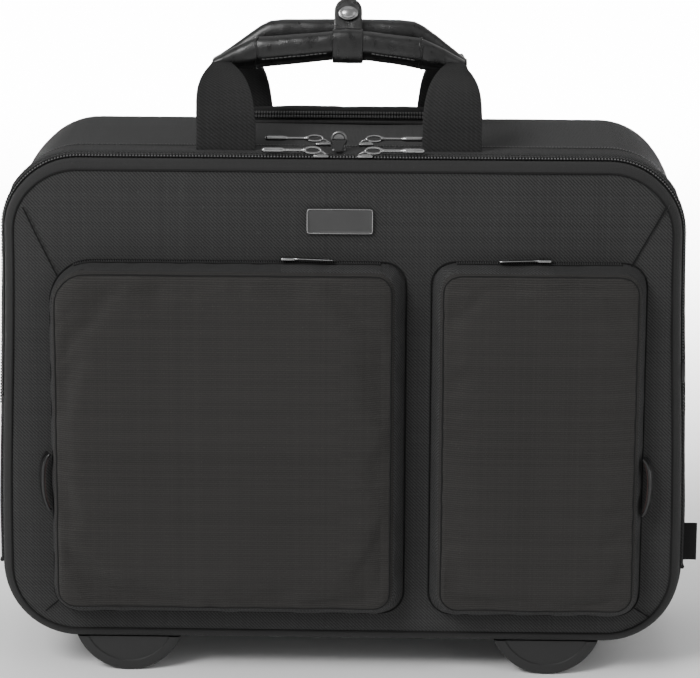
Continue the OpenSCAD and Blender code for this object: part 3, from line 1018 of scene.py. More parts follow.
def rear_shell():
    """The rear compartment's walls and top, with a slot for the trolley handle's bezel."""
    shell = band("Rear_shell", SPLIT_Y + 0.6 * MM, BACK_Y - 4 * MM, low=TRAY_TOP + 0.1 * MM,
                 cuts=34, lift=shell_lift)
    low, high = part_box("trolley_bezel")
    cutter = block("cutter", (low.x + 4 * MM, low.y + 1 * MM, 300 * MM),
                   (high.x - 4 * MM, high.y - 1 * MM, 360 * MM))
    finish_with(shell, "BOOLEAN", operation="DIFFERENCE", object=cutter, solver="EXACT")
    bpy.data.objects.remove(cutter)
    shell.data.materials.append(TWILL)
    shell.data.materials.append(TOP_CLOTH)
    for face in shell.data.polygons:
        face.material_index = 1 if face.normal.z > 0.25 and face.center.z > 250 * MM else 0
    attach(shell, "case")
    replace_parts(shell, "rear_gusset")


def base_tray():
    """The stiff lower part of the case, with piping along its upper edge."""
    tray = band("Base_tray", LID_Y + 0.6 * MM, BACK_Y - 4 * MM, high=TRAY_TOP - 0.1 * MM, cuts=22,
                lift=lambda p, n: -back_rounding(p))
    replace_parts(give(tray, TWILL, "case"), "base_panel")
    for s, name in ((-1, "left"), (1, "right")):
        edge = [(s * (BODY_W / 2 + 3.2 * MM), LID_Y + 3 * MM + i * (BACK_Y - LID_Y - 18 * MM) / 30, TRAY_TOP)
                for i in range(31)]
        piping = cord_tube("Tray_piping_" + name, edge, PIPING_R, 8)
        give(lay_cloth(piping), SMOOTH, "case")


def gusset_lift(p, n):
    """The gusset rolls up just behind the front zip and falls softly to the rear one."""
    past = p.y - LID_Y - 2 * MM
    left = SPLIT_Y - 2.2 * MM - p.y
    roll = 2.3 * ease(past / (6 * MM)) * (1 - 0.4 * ease((past - 10 * MM) / (24 * MM)))
    roll *= 0.4 + 0.6 * ease(left / (3 * MM))
    return roll * MM * (1.0 if n[1] > 0.5 else 0.6) + soft_wave(p, 0.5 * MM) * ease(past / (5 * MM))


def front_gusset():
    """The band between the two zips, with a row of stitches along each edge."""
    gusset = band("Front_gusset", LID_Y + 2.0 * MM, SPLIT_Y - 2.2 * MM, low=TRAY_TOP + 0.4 * MM,
                  cuts=20, lift=gusset_lift)
    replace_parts(give(gusset, TWILL, "front_section"), "front_gusset")
    for y, name in ((LID_Y + 3.2 * MM, "front"), (SPLIT_Y - 3.4 * MM, "rear")):
        ring = ring_points(y, 0.5 * MM, TRAY_TOP + 1 * MM)
        line, ups = on_surface(gusset, [p + n * 4 * MM for p, n in ring], 0.1 * MM)
        row = stitches("Gusset_stitches_" + name, line, ups, 3.4 * MM)
        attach(row, "front_section")


def binding_lift(p, n):
    """The binding rolls in towards the front panel."""
    past = (PANEL_Y + 8 * MM - p.y) / (8 * MM)
    if past <= 0:
        return 0.25 * MM
    return 0.25 * MM - 6.6 * MM * (1 - math.sqrt(max(0.0, 1 - min(past, 1) ** 2)))


def bend_low(piece):
    """Settles the piece's place into its mesh."""
    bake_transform(piece)


def panel_binding():
    """The smooth band round the front panel, with its stitches."""
    wrap = band("Panel_binding", PANEL_Y, LID_Y - 2.4 * MM, cuts=14, lift=binding_lift, step=5 * MM)
    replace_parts(give(wrap, SMOOTH), "panel_binding")
    bend_low(wrap)
    ring = ring_points(LID_Y - 3.4 * MM, 0.35 * MM)
    row = stitches("Binding_stitches_edge", [p for p, _ in ring], [n for _, n in ring])
    bend_low(row)


def panel_face(x, z):
    """Depth of the front panel's face at a place on it."""
    inside = outline_depth(x, z) - 6.5 * MM
    dome = 1.3 * MM * (1 - math.exp(-max(inside, 0) / (14 * MM)))
    rim = 0.8 * MM * math.exp(-max(inside, 0) / (2 * MM))
    return PANEL_Y - dome + rim + soft_wave(Vector((x, 0, z)), 0.35 * MM, 12.0)


def front_panel():
    """The front's cloth face, the darts at its corners and the seam at its rim."""
    inset = 5.4 * MM
    panel = grid_panel("Front_panel", BODY_W - 2 * inset, BODY_H - 2 * inset, CORNER_R - inset,
                       BODY_MID, 100, lambda t: (t, 0.0, 0.0))
    move_points(panel, lambda p: flare(Vector((p.x, panel_face(p.x, p.z), p.z))))
    outward(panel)
    if sum(f.normal.y for f in panel.data.polygons) > 0:
        panel.data.flip_normals()
    finish_with(panel, "SOLIDIFY", thickness=3.5 * MM, offset=-1.0)
    smooth(lay_cloth(panel), 50)
    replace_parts(give(panel, TWILL), "front_panel")
    bend_low(panel)
    darts = (((-203, 309), (-194, 290), (-180.5, 262.5)), ((205, 313), (194, 293), (180, 268)),
             ((-184, 50), (-193, 42)), ((189, 50), (201, 42)))
    for i, dart in enumerate(darts):
        line = smooth_path([mm(x, 0, z) for x, z in dart], 24)
        for p in line:
            p.y = panel_face(p.x, p.z) - 0.25 * MM
        # Painted shade: the dart's dark cord stands in for the shade in its groove.
        seam = cord_tube("Dart_seam_" + str(i), line, 0.5 * MM, 8)
        give(seam, SEAM_SHADE, "front_lid")
        row = [p + Vector(mm(2.2, 0, 1.1 if p.x > 0 else -1.1)) for p in line]
        for p in row:
            p.y = panel_face(p.x, p.z) - 0.1 * MM
        sewn = stitches("Dart_stitches_%d_1" % i, row, [Vector((0, -1, 0))] * len(row))
        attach(sewn, "front_lid")
    edge = outline_path(BODY_W - 12 * MM, BODY_H - 12 * MM, CORNER_R - 6 * MM, BODY_MID, 4 * MM)
    rim = [flare(Vector((p.x, PANEL_Y + 0.2 * MM, p.y))) for p, _ in edge]
    # Painted shade: the rim seam's dark cord stands in for the shade in its groove.
    seam = cord_tube("Panel_seam", rim, 0.8 * MM, 8, closed=True)
    bend_low(give(seam, SEAM_SHADE))


def back_panel():
    """The padded back, quilted by two upright seams."""
    inset = 9.5 * MM

    def profile(t):
        if t > 0.92:
            u = (t - 0.92) / 0.08
            return 1.0, 0.0, BACK_Y - 4 * MM * u
        return t / 0.92, 0.0, BACK_Y

    panel = grid_panel("Back_panel", BODY_W - 2 * inset, BODY_H - 2 * inset, CORNER_R - inset,
                       BODY_MID, 76, profile)

    def quilt(p):
        if p.y < BACK_Y - 0.5 * MM:
            return p
        inside = outline_depth(p.x, p.z) - inset
        puffed = 0.9 * MM * (1 - math.exp(-max(inside, 0) / (16 * MM)))
        for seam in (-104 * MM, 104 * MM):
            puffed -= 1.3 * MM * math.exp(-((p.x - seam) / (3.5 * MM)) ** 2)
        return Vector((p.x, BACK_Y + puffed - 0.6 * MM, p.z))

    move_points(panel, quilt)
    outward(panel)
    if sum(f.normal.y for f in panel.data.polygons) < 0:
        panel.data.flip_normals()
    finish_with(panel, "SOLIDIFY", thickness=3 * MM, offset=-1.0)
    smooth(lay_cloth(panel), 50)
    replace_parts(give(panel, MESH, "case"), "back_panel")
    edge = outline_path(BODY_W - 18 * MM, BODY_H - 18 * MM, CORNER_R - 9 * MM, BODY_MID, 4 * MM)
    piping = cord_tube("Back_piping", [Vector((p.x, BACK_Y - 2.6 * MM, p.y)) for p, _ in edge],
                       2.0 * MM, 12, closed=True)
    give(lay_cloth(piping), SMOOTH, "case")


# ---- the two pockets ----

def pocket(name, node, x0, x1, z0, z1, slopes, covered, wide=False):
    """A puffy pocket: sloping gusset, rounded rim and soft face.

    slopes is how far the gusset leans in at the left, right, bottom and top, in millimetres.
    covered is the run of its upper edge that the smooth cloth covers.
    """
    w, h = x1 - x0, z1 - z0
    centre = ((x0 + x1) / 2, (z0 + z1) / 2)
    radius = POCKET_CORNER_R
    rear = PANEL_Y - 0.2 * MM
    stations = ((0.0, POCKET_DEEP), (0.55, POCKET_DEEP), (0.70, 23.8), (0.76, 22.6), (0.80, 20.4),
                (0.84, 17.0), (0.92, 8.0), (1.0, 0.0))

    def profile(t):
        depth = between(t, stations)[0] * MM
        return (min(t / 0.76, 1.0), 0.0, rear - depth)

    piece = grid_panel(name, w, h, radius, centre, 64, profile)

    def slope(p):
        forward = (rear - p.y) / (24 * MM)
        lean = ease(forward) if forward < 1 else 1.0
        u = (p.x - centre[0]) / (w / 2)
        v = (p.z - centre[1]) / (h / 2)
        left, right, bottom, top = slopes
        dx = (-right * max(u, 0) ** 3 + left * max(-u, 0) ** 3) * lean
        dz = (-top * max(v, 0) ** 3 + bottom * max(-v, 0) ** 3) * lean
        return Vector((p.x + dx * MM, p.y, p.z + dz * MM))

    left, right, bottom, top = slopes
    rim_mid = (centre[0] + (left - right) / 2 * MM, centre[1] + (bottom - top) / 2 * MM)
    rim_w, rim_h, rim_r = w - (left + right) * MM, h - (bottom + top) * MM, 12 * MM

    def wide_corner(x, z):
        return x < centre[0] and z > centre[1] and wide

    def off_rim(p):
        r = rim_r + 9 * MM if wide_corner(p.x, p.z) else rim_r
        return outline_depth(p.x, p.z, rim_w, rim_h, r, rim_mid)

    def soft_corner(p):
        """The wide pocket's upper left corner is rounder than the others."""
        size = WIDE_CORNER
        du, dv = (x0 + size - p.x) / size, (p.z - z1 + size) / size
        if not wide or du <= 0 or dv <= 0:
            return p
        away = math.hypot(du, dv)
        cu, cv = du / away, dv / away
        arc = radius / size
        mid = (1 - arc) * (cu + cv)
        reach = 1 / max(cu, cv)
        if reach * min(cu, cv) > 1 - arc:
            reach = mid + math.sqrt(max(mid * mid - 2 * (1 - arc) ** 2 + arc * arc, 0.0))
        f = 1 / reach
        return Vector((x0 + size - du * f * size, p.y, z1 - size + dv * f * size))

    def sunk_seam(p):
        """The rim's seam pulls the cloth in."""
        near = 1 - min(abs(off_rim(p)) / (3 * MM), 1.0)
        if p.y > rear - 16 * MM:
            return p
        return Vector((p.x, p.y + 1.8 * MM * near * near, p.z))

    move_points(piece, lambda p: slope(soft_corner(p)))
    pick_edges(piece, lambda a, b: a.y > rear - 0.05 * MM and b.y > rear - 0.05 * MM)
    shape(piece,
          (bpy.ops.mesh.extrude_edges_move, {"TRANSFORM_OT_translate": {"value": (0, 2 * MM, 0)}}),
          (bpy.ops.mesh.fill, {}))
    outward(piece)
    puff(piece, lambda p: p.y > rear - 6 * MM or (abs(off_rim(p)) < 2.2 * MM and p.y < rear - 16 * MM),
         4.0 * MM, 5.0, 3.5 * MM, 14, 0.02)
    move_points(piece, sunk_seam)
    piece.data.materials.append(RIB)
    piece.data.materials.append(TWILL)
    piece.data.materials.append(SMOOTH)
    rim = [p for r in (rim_r, rim_r + 9 * MM) for p, _ in outline_path(rim_w, rim_h, r, rim_mid, 3 * MM)
           if wide_corner(p.x, p.y) == (r > rim_r)]
    rim.sort(key=lambda p: math.atan2(p.y - rim_mid[1], p.x - rim_mid[0]))
    for face in piece.data.polygons:
        c = face.center
        on_flap = c.z > z1 - 20 * MM and covered[0] < c.x < covered[1]
        face.material_index = 0 if off_rim(c) > 0 and c.y < rear - 14 * MM else 2 if on_flap else 1
    lay_cloth(piece)
    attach(piece, "front_lid")
    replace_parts(piece, node)
    line, ups = on_surface(piece, [(p.x, rear - 22.5 * MM, p.y) for p in rim], 0.0)
    # Painted shade: dark cords along the pocket's rim and foot stand in for the shade in their grooves.
    give(cord_tube(name + "_seam", line, 0.65 * MM, 8, closed=True), SEAM_SHADE, "front_lid")
    foot = [soft_corner(Vector((p.x, 0, p.y)))
            for p, _ in outline_path(w + 0.4 * MM, h + 0.4 * MM, radius, centre, 3 * MM)]
    give(cord_tube(name + "_foot_seam", [(p.x, panel_face(p.x, p.z) - 0.1 * MM, p.z) for p in foot],
                   0.6 * MM, 8, closed=True), SEAM_SHADE, "front_lid")
    return piece


def pocket_top(name, piece, x0, x1, z):
    """A pocket's zip along the back of its top gusset."""
    y = PANEL_Y - 5 * MM
    count = int((x1 - x0) / (4 * MM))
    halves = []
    for s in (-1, 1):
        line = [Vector((x0 + (x1 - x0) * i / count, y + s * 1.1 * MM, z)) for i in range(count + 1)]
        line, _ = on_surface(piece, line, 0.2 * MM)
        halves.append(zip_row(name + str(s), line, [Vector((0, 0, 1))] * len(line),
                              [Vector((0, 1, 0))] * len(line), 1.0 * MM, 1.5 * MM, 0.5 * MM))
    row = joined(name, halves)
    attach(row, "front_lid")
    return row


def pockets():
    left = pocket("Left_pocket", "left_pocket", *mm(-186.5, 41, 43.4, 275.6), (3.0, 7.5, 7, 4.0),
                  mm(-200, -38), True)
    right = pocket("Right_pocket", "right_pocket", *mm(57, 194, 43.4, 276.2), (6, 5, 7, 4.0), mm(134, 200))
    row = pocket_top("Left_pocket_zip", left, *mm(-172, 25, 276))
    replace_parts(row, "pocket_zips")
    pocket_top("Right_pocket_zip", right, *mm(73, 178, 276))


# ---- metal and leather details on the front ----

def nameplate():
    """A plain metal plate with a sunk face and a bright rim."""
    low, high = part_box("nameplate")
    plate = block("Nameplate", (low.x, PANEL_Y - 3.4 * MM, low.z), (high.x, PANEL_Y - 1.0 * MM, high.z),
                  0.9 * MM, 3)
    pick_faces(plate, lambda c, n: n.y < -0.98)
    shape(plate, (bpy.ops.mesh.inset, {"thickness": 1.0 * MM, "depth": -0.45 * MM}),
          (bpy.ops.mesh.inset, {"thickness": 0.3 * MM, "depth": 0.0}))
    smooth(plate, 25)
    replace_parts(give(plate, PLATE_METAL, "front_lid"), "nameplate")
    rim = outline_path(high.x - low.x - 0.6 * MM, high.z - low.z - 0.6 * MM, 1.2 * MM,
                       ((low.x + high.x) / 2, (low.z + high.z) / 2), 1.5 * MM)
    edge = cord_tube("Nameplate_rim", [(p.x, PANEL_Y - 3.3 * MM, p.y) for p, _ in rim], 0.42 * MM, 8,
                     closed=True)
    give(edge, GUNMETAL, "front_lid")


def side_loops():
    """A leather loop sewn on each outer gusset, with a red-brown inside."""
    pieces = []
    for s, x in ((-1, -187.5), (1, 194.0)):
        out = Vector((s * 0.94, -0.34, 0.0))
        across = Vector((-s * 0.34, -0.94, 0.0))
        rise = ((0.2, 151), (2.4, 149), (4.6, 143), (5.2, 133), (4.4, 123), (2.2, 116), (0.2, 114))
        middle = [Vector(mm(x, -94, z)) + out * r * MM for r, z in rise]
        path = smooth_path(middle, 28)
        loop = strap("Side_loop_" + str(s), path, [across] * 28, [4.6 * MM] * 28, 1.7 * MM, 4)
        give(loop, LEATHER, "front_lid")
        pieces.append(loop)
        lining = strap("Loop_lining_" + str(s), [p - out * 1.1 * MM for p in path[2:-2]],
                       [across] * 24, [4.2 * MM] * 24, 0.6 * MM, 3)
        give(lining, LOOP_LINING, "front_lid")
    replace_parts(pieces[0], "side_loops")


def side_label():
    """The woven label at the side, and the leather tabs over the ends of the front zip."""
    low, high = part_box("side_label")
    x0, x1 = BODY_W / 2 - 1 * MM, BODY_W / 2 + 12.5 * MM
    y = (low.y + high.y) / 2
    count = 14
    path = [Vector((x0 + (x1 - x0) * i / count, y + 1.2 * MM * math.sin(i / count * 2.4),
                    (low.z + high.z) / 2)) for i in range(count + 1)]
    label = strap("Side_label", path, [Vector((0, 0, 1))] * (count + 1),
                  [(high.z - low.z) / 2] * (count + 1), 1.1 * MM, 8)
    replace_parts(give(lay_cloth(label), LABEL, "front_section"), "side_label")
    for s, z in ((-1, 177 * MM), (1, 204 * MM)):
        tab = block("Zip_end_tab_" + str(s), (s * 219.2 * MM - 1.6 * MM, LID_Y - 4 * MM, z - 7 * MM),
                    (s * 219.2 * MM + 1.6 * MM, LID_Y + 6 * MM, z + 7 * MM), 1.1 * MM, 3)
        give(smooth(tab), LEATHER, "front_section")


def feet():
    """Two half-round feet, cut off just under the binding."""
    for name, aside in FOOT_ASIDE.items():
        low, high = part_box("foot_" + name)
        r = (high.x - low.x) / 2 + FOOT_FULLER
        front = low.y - FOOT_FORWARD
        across = (low.x + high.x) / 2 + aside
        centre = (across, (front + high.y) / 2, low.z + r)
        foot = disc("Foot_" + name, centre, r, high.y - front, "Y", 96)
        round_off(foot, 2.4 * MM, 3, 60)
        pick_faces(foot, lambda c, n: n.y < -0.99)
        shape(foot, (bpy.ops.mesh.inset, {"thickness": 4 * MM, "depth": 0.0}),
              (bpy.ops.mesh.inset, {"thickness": 0.8 * MM, "depth": -0.8 * MM}))
        clear_picks(foot)
        shape(foot, (bpy.ops.mesh.select_all, {"action": "SELECT"}),
              (bpy.ops.mesh.bisect, {"plane_co": (0, FOOT_CUT_Y, BASE_Z - 0.3 * MM),
                                     "plane_no": (0, -0.1, 1), "clear_outer": True, "use_fill": True}))
        smooth(foot, 35)
        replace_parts(give(foot, FOOT_PLASTIC, "case"), "foot_" + name)


# ---- carry handles ----

def web_leg(name, x_foot, x_top, path, turn, node=None):
    """One webbing leg: flat at its foot, narrowing and turning edge-on at the grip."""
    points = smooth_path([mm(0, y, z) for y, z in path], WEB_POINTS)
    across, halves = [], []
    for i, p in enumerate(points):
        t = i / (WEB_POINTS - 1)
        late = ease((t - 0.25) / 0.75)
        p.x = x_foot + (x_top - x_foot) * ease((t - 0.15) / 0.85)
        angle = turn * late
        across.append(Vector((math.cos(angle), math.sin(angle), 0.0)))
        halves.append((WEB_WIDTH / 2 - 7.5 * late) * MM)
    leg = strap(name, points, across, halves, WEB_THICK, 12, 0.4 * MM)
    give(leg, WEB)
    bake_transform(leg)
    if node:
        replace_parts(leg, node)


def webbing():
    """Four legs of webbing and the stitches across the feet of the front two."""
    front = ((-60.5, 338), (-60, 344), (-57.5, 352), (-53.5, 366), (-43, 381), (-24, 390), (2, 393))
    rear = ((101.8, 296), (103.2, 340), (100, 366), (86, 381), (62, 391), (28, 394))
    for s, foot, top in zip((-1, 1), FRONT_WEB_X, (-82.5, 72.5)):
        web_leg("Front_web_" + str(s), foot * MM, top * MM, front, -s * 1.05,
                "front_webbing" if s < 0 else None)
    for s, foot, top in zip((-1, 1), REAR_WEB_X, (-75, 69.5)):
        web_leg("Rear_web_" + str(s), foot * MM, top * MM, rear, s * 0.9,
                "rear_webbing" if s < 0 else None)
    for s, x in zip((-1, 1), FRONT_WEB_X):
        line = [Vector(mm(x - 17 + i * 3.4, -62.2, 342)) for i in range(11)]
        row = stitches("Web_stitches_" + str(s), line, [Vector((0, -1, 0.2))] * 11)
        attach(row, "front_section")


def pinched_section(a):
    """A grip's cross-section: round above, pinched to a sewn flange below."""
    c, k = round_section(a)
    if k < -0.35:
        c *= 1 - 0.62 * ease((-0.35 - k) / 0.4)
    return c, k


def grip_stations(y, rows):
    return [(x * MM, y * MM, (top + foot) / 2 * MM, depth * MM, (top - foot) / 2 * MM)
            for x, top, foot, depth in rows]


def grips():
    """Both leather grips, from rows of (place, top, underside, half depth) in millimetres."""
    front_rows = ((-88, 394.8, 390.4, 7.0), (-84, 397, 389, 7.4), (-74, 402.5, 388, 6.2),
                  (-64, 407, 388, 6.2), (-59, 409, 389, 5.6), (-56, 409.4, 389.3, 6.0),
                  (-30, 411.6, 392, 6.5), (-10, 413.3, 394, 6.2), (2, 413.6, 394.4, 6.0),
                  (15, 413.3, 394, 6.2), (30, 411.6, 392, 6.5), (46, 409.4, 389.3, 6.0),
                  (49, 409, 389, 5.6), (54, 407, 388, 6.2), (64, 402.5, 388, 6.2),
                  (74, 397, 389, 7.4), (78, 394.8, 390.4, 7.0))
    rear_rows = ((-89, 393.4, 389.2, 7.0), (-84, 396.3, 388, 7.2), (-76, 401.8, 389, 6.0),
                 (-66, 409, 393, 6.0), (-57, 415.4, 397, 6.0), (-51, 418.4, 399, 6.0),
                 (-42, 419.4, 400, 6.2), (0, 419.7, 401, 6.0), (36, 419.4, 400, 6.2),
                 (45, 418.4, 399, 6.0), (51, 415.4, 397, 6.0), (60, 409, 393, 6.0),
                 (69, 401.8, 389, 6.0), (76, 396.3, 388, 7.2), (80, 393.4, 389.2, 7.0))
    for name, node, body, y, rows, wave, sewn_runs, seams in (
            ("Front_grip", "front_grip", "front_handle", 6.0, front_rows, 0.35 * MM,
             ((-56, -12), (16, 46)), (-59, 49)),
            ("Rear_grip", "rear_grip", "rear_handle", 24.6, rear_rows, 0.15 * MM, (), ())):
        stations = grip_stations(y, rows)
        grip = loft(name, stations, 36, 110, pinched_section, wave)
        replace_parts(give(grip, LEATHER, body), node)
        for k, (a, b) in enumerate(sewn_runs):
            line = []
            for i in range(24):
                x = (a + (b - a) * i / 23) * MM
                yy, z, depth, height = between(x, stations)
                line.append((x, yy - 14 * MM, z - height * 0.72))
            row, ups = on_surface(grip, line, 0.2 * MM)
            sewn = stitches(name + "_stitches_" + str(k), row, ups, 2.9 * MM, 0.42 * MM, 2.1 * MM)
            give(sewn, PALE_THREAD, body)
        for k, x in enumerate(seams):
            yy, z, depth, height = between(x * MM, stations)
            ring = []
            for i in range(28):
                c, q = pinched_section(i / 28 * math.tau)
                ring.append((x * MM + 0.8 * MM * math.sin(i), yy + c * depth * 1.03, z + q * height * 1.02))
            seam = cord_tube(name + "_seam_" + str(k), ring, 0.7 * MM, 8, closed=True)
            give(seam, LEATHER, body)


def boxy_section(a):
    """A tall oval with flat sides."""
    return (math.copysign(abs(math.cos(a)) ** 0.55, math.cos(a)),
            math.copysign(abs(math.sin(a)) ** 0.7, math.sin(a)))


def wrap(name, body, x0, x1, y, z, depth, height):
    """A leather band round a grip."""
    fuller = 0.3 * MM
    stations = [(x0, y, z, depth, height),
                ((x0 + x1) / 2, y, z + 0.2 * MM, depth + fuller, height + fuller),
                (x1, y, z, depth, height)]
    band_piece = loft(name, stations, 36, 14, boxy_section, 0.15 * MM)
    round_off(band_piece, 0.8 * MM, 3, 60)
    return give(smooth(band_piece, 40), LEATHER, body)


TAB_LEAN = math.radians(24)
TAB_BEND = 414 * MM


def on_tab(x, y, z):
    """A place on the tab, which leans back above the wrap."""
    up = max(z - TAB_BEND, 0.0)
    return Vector((x, y + up * math.sin(TAB_LEAN), min(z, TAB_BEND) + up * math.cos(TAB_LEAN)))


def snap_tab(name, body, x, y, z0, z1, node):
    """A leather tab with a rounded top, which leans back a little."""
    half = 9.2 * MM
    count = 48
    centres, halves = [], []
    for i in range(count):
        z = z0 + (z1 - z0) * i / (count - 1)
        left = z1 - z
        w = half if left > half else math.sqrt(max(half * half - (half - left) ** 2, 0.0))
        centres.append(on_tab(x, y, z))
        halves.append(max(w, 0.4 * MM))
    tab = strap(name, centres, [Vector((1, 0, 0))] * count, halves, 2.4 * MM, 14, 0.0)
    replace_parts(give(tab, LEATHER, body), node)
    line = []
    inset = half - 1.6 * MM
    for i in range(25):
        a = math.pi * i / 24
        line.append(on_tab(x - inset * math.cos(a), y - 1.3 * MM, z1 - half + inset * math.sin(a)))
    facing = Vector((0, -math.cos(TAB_LEAN), math.sin(TAB_LEAN)))
    row = stitches(name + "_stitches", line, [facing] * len(line), 2.4 * MM, 0.3 * MM, 1.7 * MM)
    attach(row, body)


def snap():
    """The wraps round the middle of the grips, their upright tabs and the snap's cap."""
    x = 1 * MM
    wrap("Front_wrap", "front_handle", -9 * MM, 11 * MM, 6.4 * MM, 403.6 * MM, 7.6 * MM, 11.2 * MM)
    wrap("Rear_wrap", "rear_handle", -8 * MM, 10 * MM, 24.2 * MM, 410.2 * MM, 7.0 * MM, 10.8 * MM)
    snap_tab("Front_snap_tab", "front_handle", x, 13.4 * MM, 404 * MM, 435.5 * MM, "front_snap_tab")
    snap_tab("Rear_snap_tab", "rear_handle", x, 16.4 * MM, 404 * MM, 434.6 * MM, "rear_snap_tab")
    low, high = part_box("snap_cap")
    rows = ((0.0, 6.3), (0.9, 6.6), (1.4, 6.2), (1.6, 5.4), (2.1, 4.9), (2.7, 3.6), (3.0, 1.8), (3.1, 0.3))
    cap = loft("Snap_cap", [(d * MM, 0, 0, r * MM, 0.74 * r * MM) for d, r in rows], 48, 40,
               lambda a: (math.cos(a), math.sin(a)))
    cap.data.transform(Matrix.Rotation(-math.pi / 2, 4, "Z"))
    place = on_tab(x, 13.4 * MM - 2.5 * MM, (low.z + high.z) / 2 + 2.5 * MM)
    cap.data.transform(Matrix.Translation(place) @ Matrix.Rotation(-TAB_LEAN, 4, "X"))
    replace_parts(give(smooth(cap, 60), GUNMETAL, "front_handle"), "snap_cap")


# ---- zip sliders, pulls and lock ring ----

def slider_piece(name, node, body, x, y, z, side):
    """A zip slider with an arched bridge for its pull."""
    base = block(name, (x - 5 * MM, y - 3.4 * MM, z), (x + 5 * MM, y + 3.4 * MM, z + 1.9 * MM), 0.7 * MM, 3)
    pick_faces(base, lambda c, n: n.z > 0.9)
    shape(base, (bpy.ops.mesh.inset, {"thickness": 0.9 * MM, "depth": 0.25 * MM}))
    path = [Vector((x + side * (-4.2 + 8.4 * t / 12) * MM, y,
                    z + (1.5 + 2.3 * math.sin(math.pi * t / 12)) * MM)) for t in range(13)]
    bridge = strap(name + "_bridge", path, [Vector((0, 1, 0))] * 13, [1.3 * MM] * 13, 0.9 * MM, 2)
    whole = joined(name, [base, bridge])
    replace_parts(give(smooth(whole), GUNMETAL, body), node)


def pull_piece(name, node, body, x, y, z, side, raised):
    """A pull: a wire loop through the bridge, a slim stem and a thicker round end."""
    loop = []
    for i in range(28):
        a = math.tau * i / 28
        loop.append(Vector((x + side * (3.4 + 5.2 * math.cos(a)) * MM, y + 0.9 * MM * math.sin(a),
                            z + (raised + 1.8 * math.sin(a)) * MM)))
    wire = cord_tube(name + "_loop", loop, 0.8 * MM, 10, closed=True)
    rows = ((10.5, 1.5, 1.5), (12, 1.5, 1.5), (13, 1.0, 0.95), (24, 0.95, 0.9), (25, 1.5, 1.35),
            (27, 1.9, 1.6), (37.5, 1.9, 1.6), (38.6, 1.5, 1.25), (39, 0.7, 0.6))
    zc = z + raised * MM
    stations = [(side * r[0] * MM, y, zc, r[1] * MM, r[2] * MM) for r in rows]
    if side < 0:
        stations.reverse()
    stem = loft(name, stations, 16, 60)
    stem.data.transform(Matrix.Translation((x - 3 * MM * side, 0, 0)))
    whole = joined(name, [stem, wire])
    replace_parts(give(whole, GUNMETAL, body), node)


def top_hardware():
    """Two sliders with long pulls on each of the top zips, and the ring that locks them."""
    for node in ("lid", "main"):
        for s, side_name in ((-1, "left"), (1, "right")):
            slider_node = "%s_slider_%s" % (node, side_name)
            pull_node = "%s_pull_%s" % (node, side_name)
            low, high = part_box(slider_node)
            mid_y = (low.y + high.y) / 2
            x = (low.x + high.x) / 2
            down = 1.9 * MM if node == "lid" else 0.3 * MM
            slider_piece(slider_node.title(), slider_node, slider_node, x, mid_y, low.z - down, s)
            pull_piece(pull_node.title(), pull_node, pull_node, x + s * 2.0 * MM, mid_y,
                       low.z + 3.1 * MM - down, s, 1.4)
    lock_ring()


def lock_ring():
    """A ring with a filled middle on a short neck, and the cloth tab hanging from it."""
    low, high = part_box("lock_ring")
    y = (low.y + high.y) / 2
    z, x = TOP_Z + 8.6 * MM, -3.2 * MM
    bpy.ops.object.select_all(action="DESELECT")
    bpy.ops.mesh.primitive_torus_add(major_segments=48, minor_segments=12, major_radius=4.5 * MM,
                                     minor_radius=1.05 * MM, location=(x, y, z), rotation=(math.pi / 2, 0, 0))
    rim = named("Lock_ring")
    plate = disc("Lock_disc", (x, y, z), 4.4 * MM, 1.2 * MM, "Y", 48)
    pick_faces(plate, lambda c, n: abs(n.y) > 0.9)
    shape(plate, (bpy.ops.mesh.inset, {"thickness": 1.2 * MM, "depth": -0.25 * MM}))
    neck = block("Lock_neck", (x - 4.2 * MM, y - 1.4 * MM, TOP_Z + 0.6 * MM),
                 (x + 4.2 * MM, y + 1.4 * MM, z - 3.0 * MM), 0.9 * MM, 3)
    foot = block("Lock_foot", (x - 4.4 * MM, y - 4 * MM, TOP_Z + 1.2 * MM),
                 (x + 4.4 * MM, y + 4 * MM, TOP_Z + 2.8 * MM), 0.7 * MM, 3)
    whole = joined("Lock_ring", [rim, plate, neck, foot])
    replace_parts(give(smooth(whole, 40), DARK_METAL, "front_section"), "lock_ring")
    steps = 16
    path = [Vector((x, y - 1.9 * MM + (LID_Y + 5 * MM - y) * (i / steps) ** 2, z - (5.2 * i / steps) * MM))
            for i in range(steps + 1)]
    widths = [(5.4 - 3.2 * i / steps) * MM for i in range(steps + 1)]
    tab = strap("Lock_tab", path, [Vector((1, 0, 0))] * (steps + 1), widths, 1.1 * MM, 8)
    give(lay_cloth(tab), TWILL, "front_section")


def pocket_sliders():
    """A small slider and its flat tag on each pocket's zip."""
    y = PANEL_Y - 6.5 * MM
    z = 277.4 * MM
    rows = ((3, 1.2, 0.8), (5, 2.2, 0.8), (8, 2.4, 0.75), (20, 2.6, 0.75), (27, 2.7, 0.8),
            (28.5, 2.2, 0.7), (29, 1.0, 0.4))
    for node, side, x in (("left_pocket_slider", 1, -34 * MM), ("right_pocket_slider", -1, 128 * MM)):
        base = block(node.title(), (x - 4.6 * MM, y - 3 * MM, z), (x + 4.6 * MM, y + 3 * MM, z + 2.0 * MM),
                     0.7 * MM, 3)
        stations = [(side * run * MM, y - 1.5 * MM, z + 1.6 * MM - run * 0.03 * MM, depth * MM, height * MM)
                    for run, depth, height in rows]
        if side < 0:
            stations.reverse()
        tag = loft(node.title() + "_tag", stations, 16, 30)
        tag.data.transform(Matrix.Translation((x, 0, 0)))
        whole = joined(node.title(), [base, tag])
        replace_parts(give(smooth(whole), GUNMETAL, node), node)


# ---- cover over the trolley handle ----


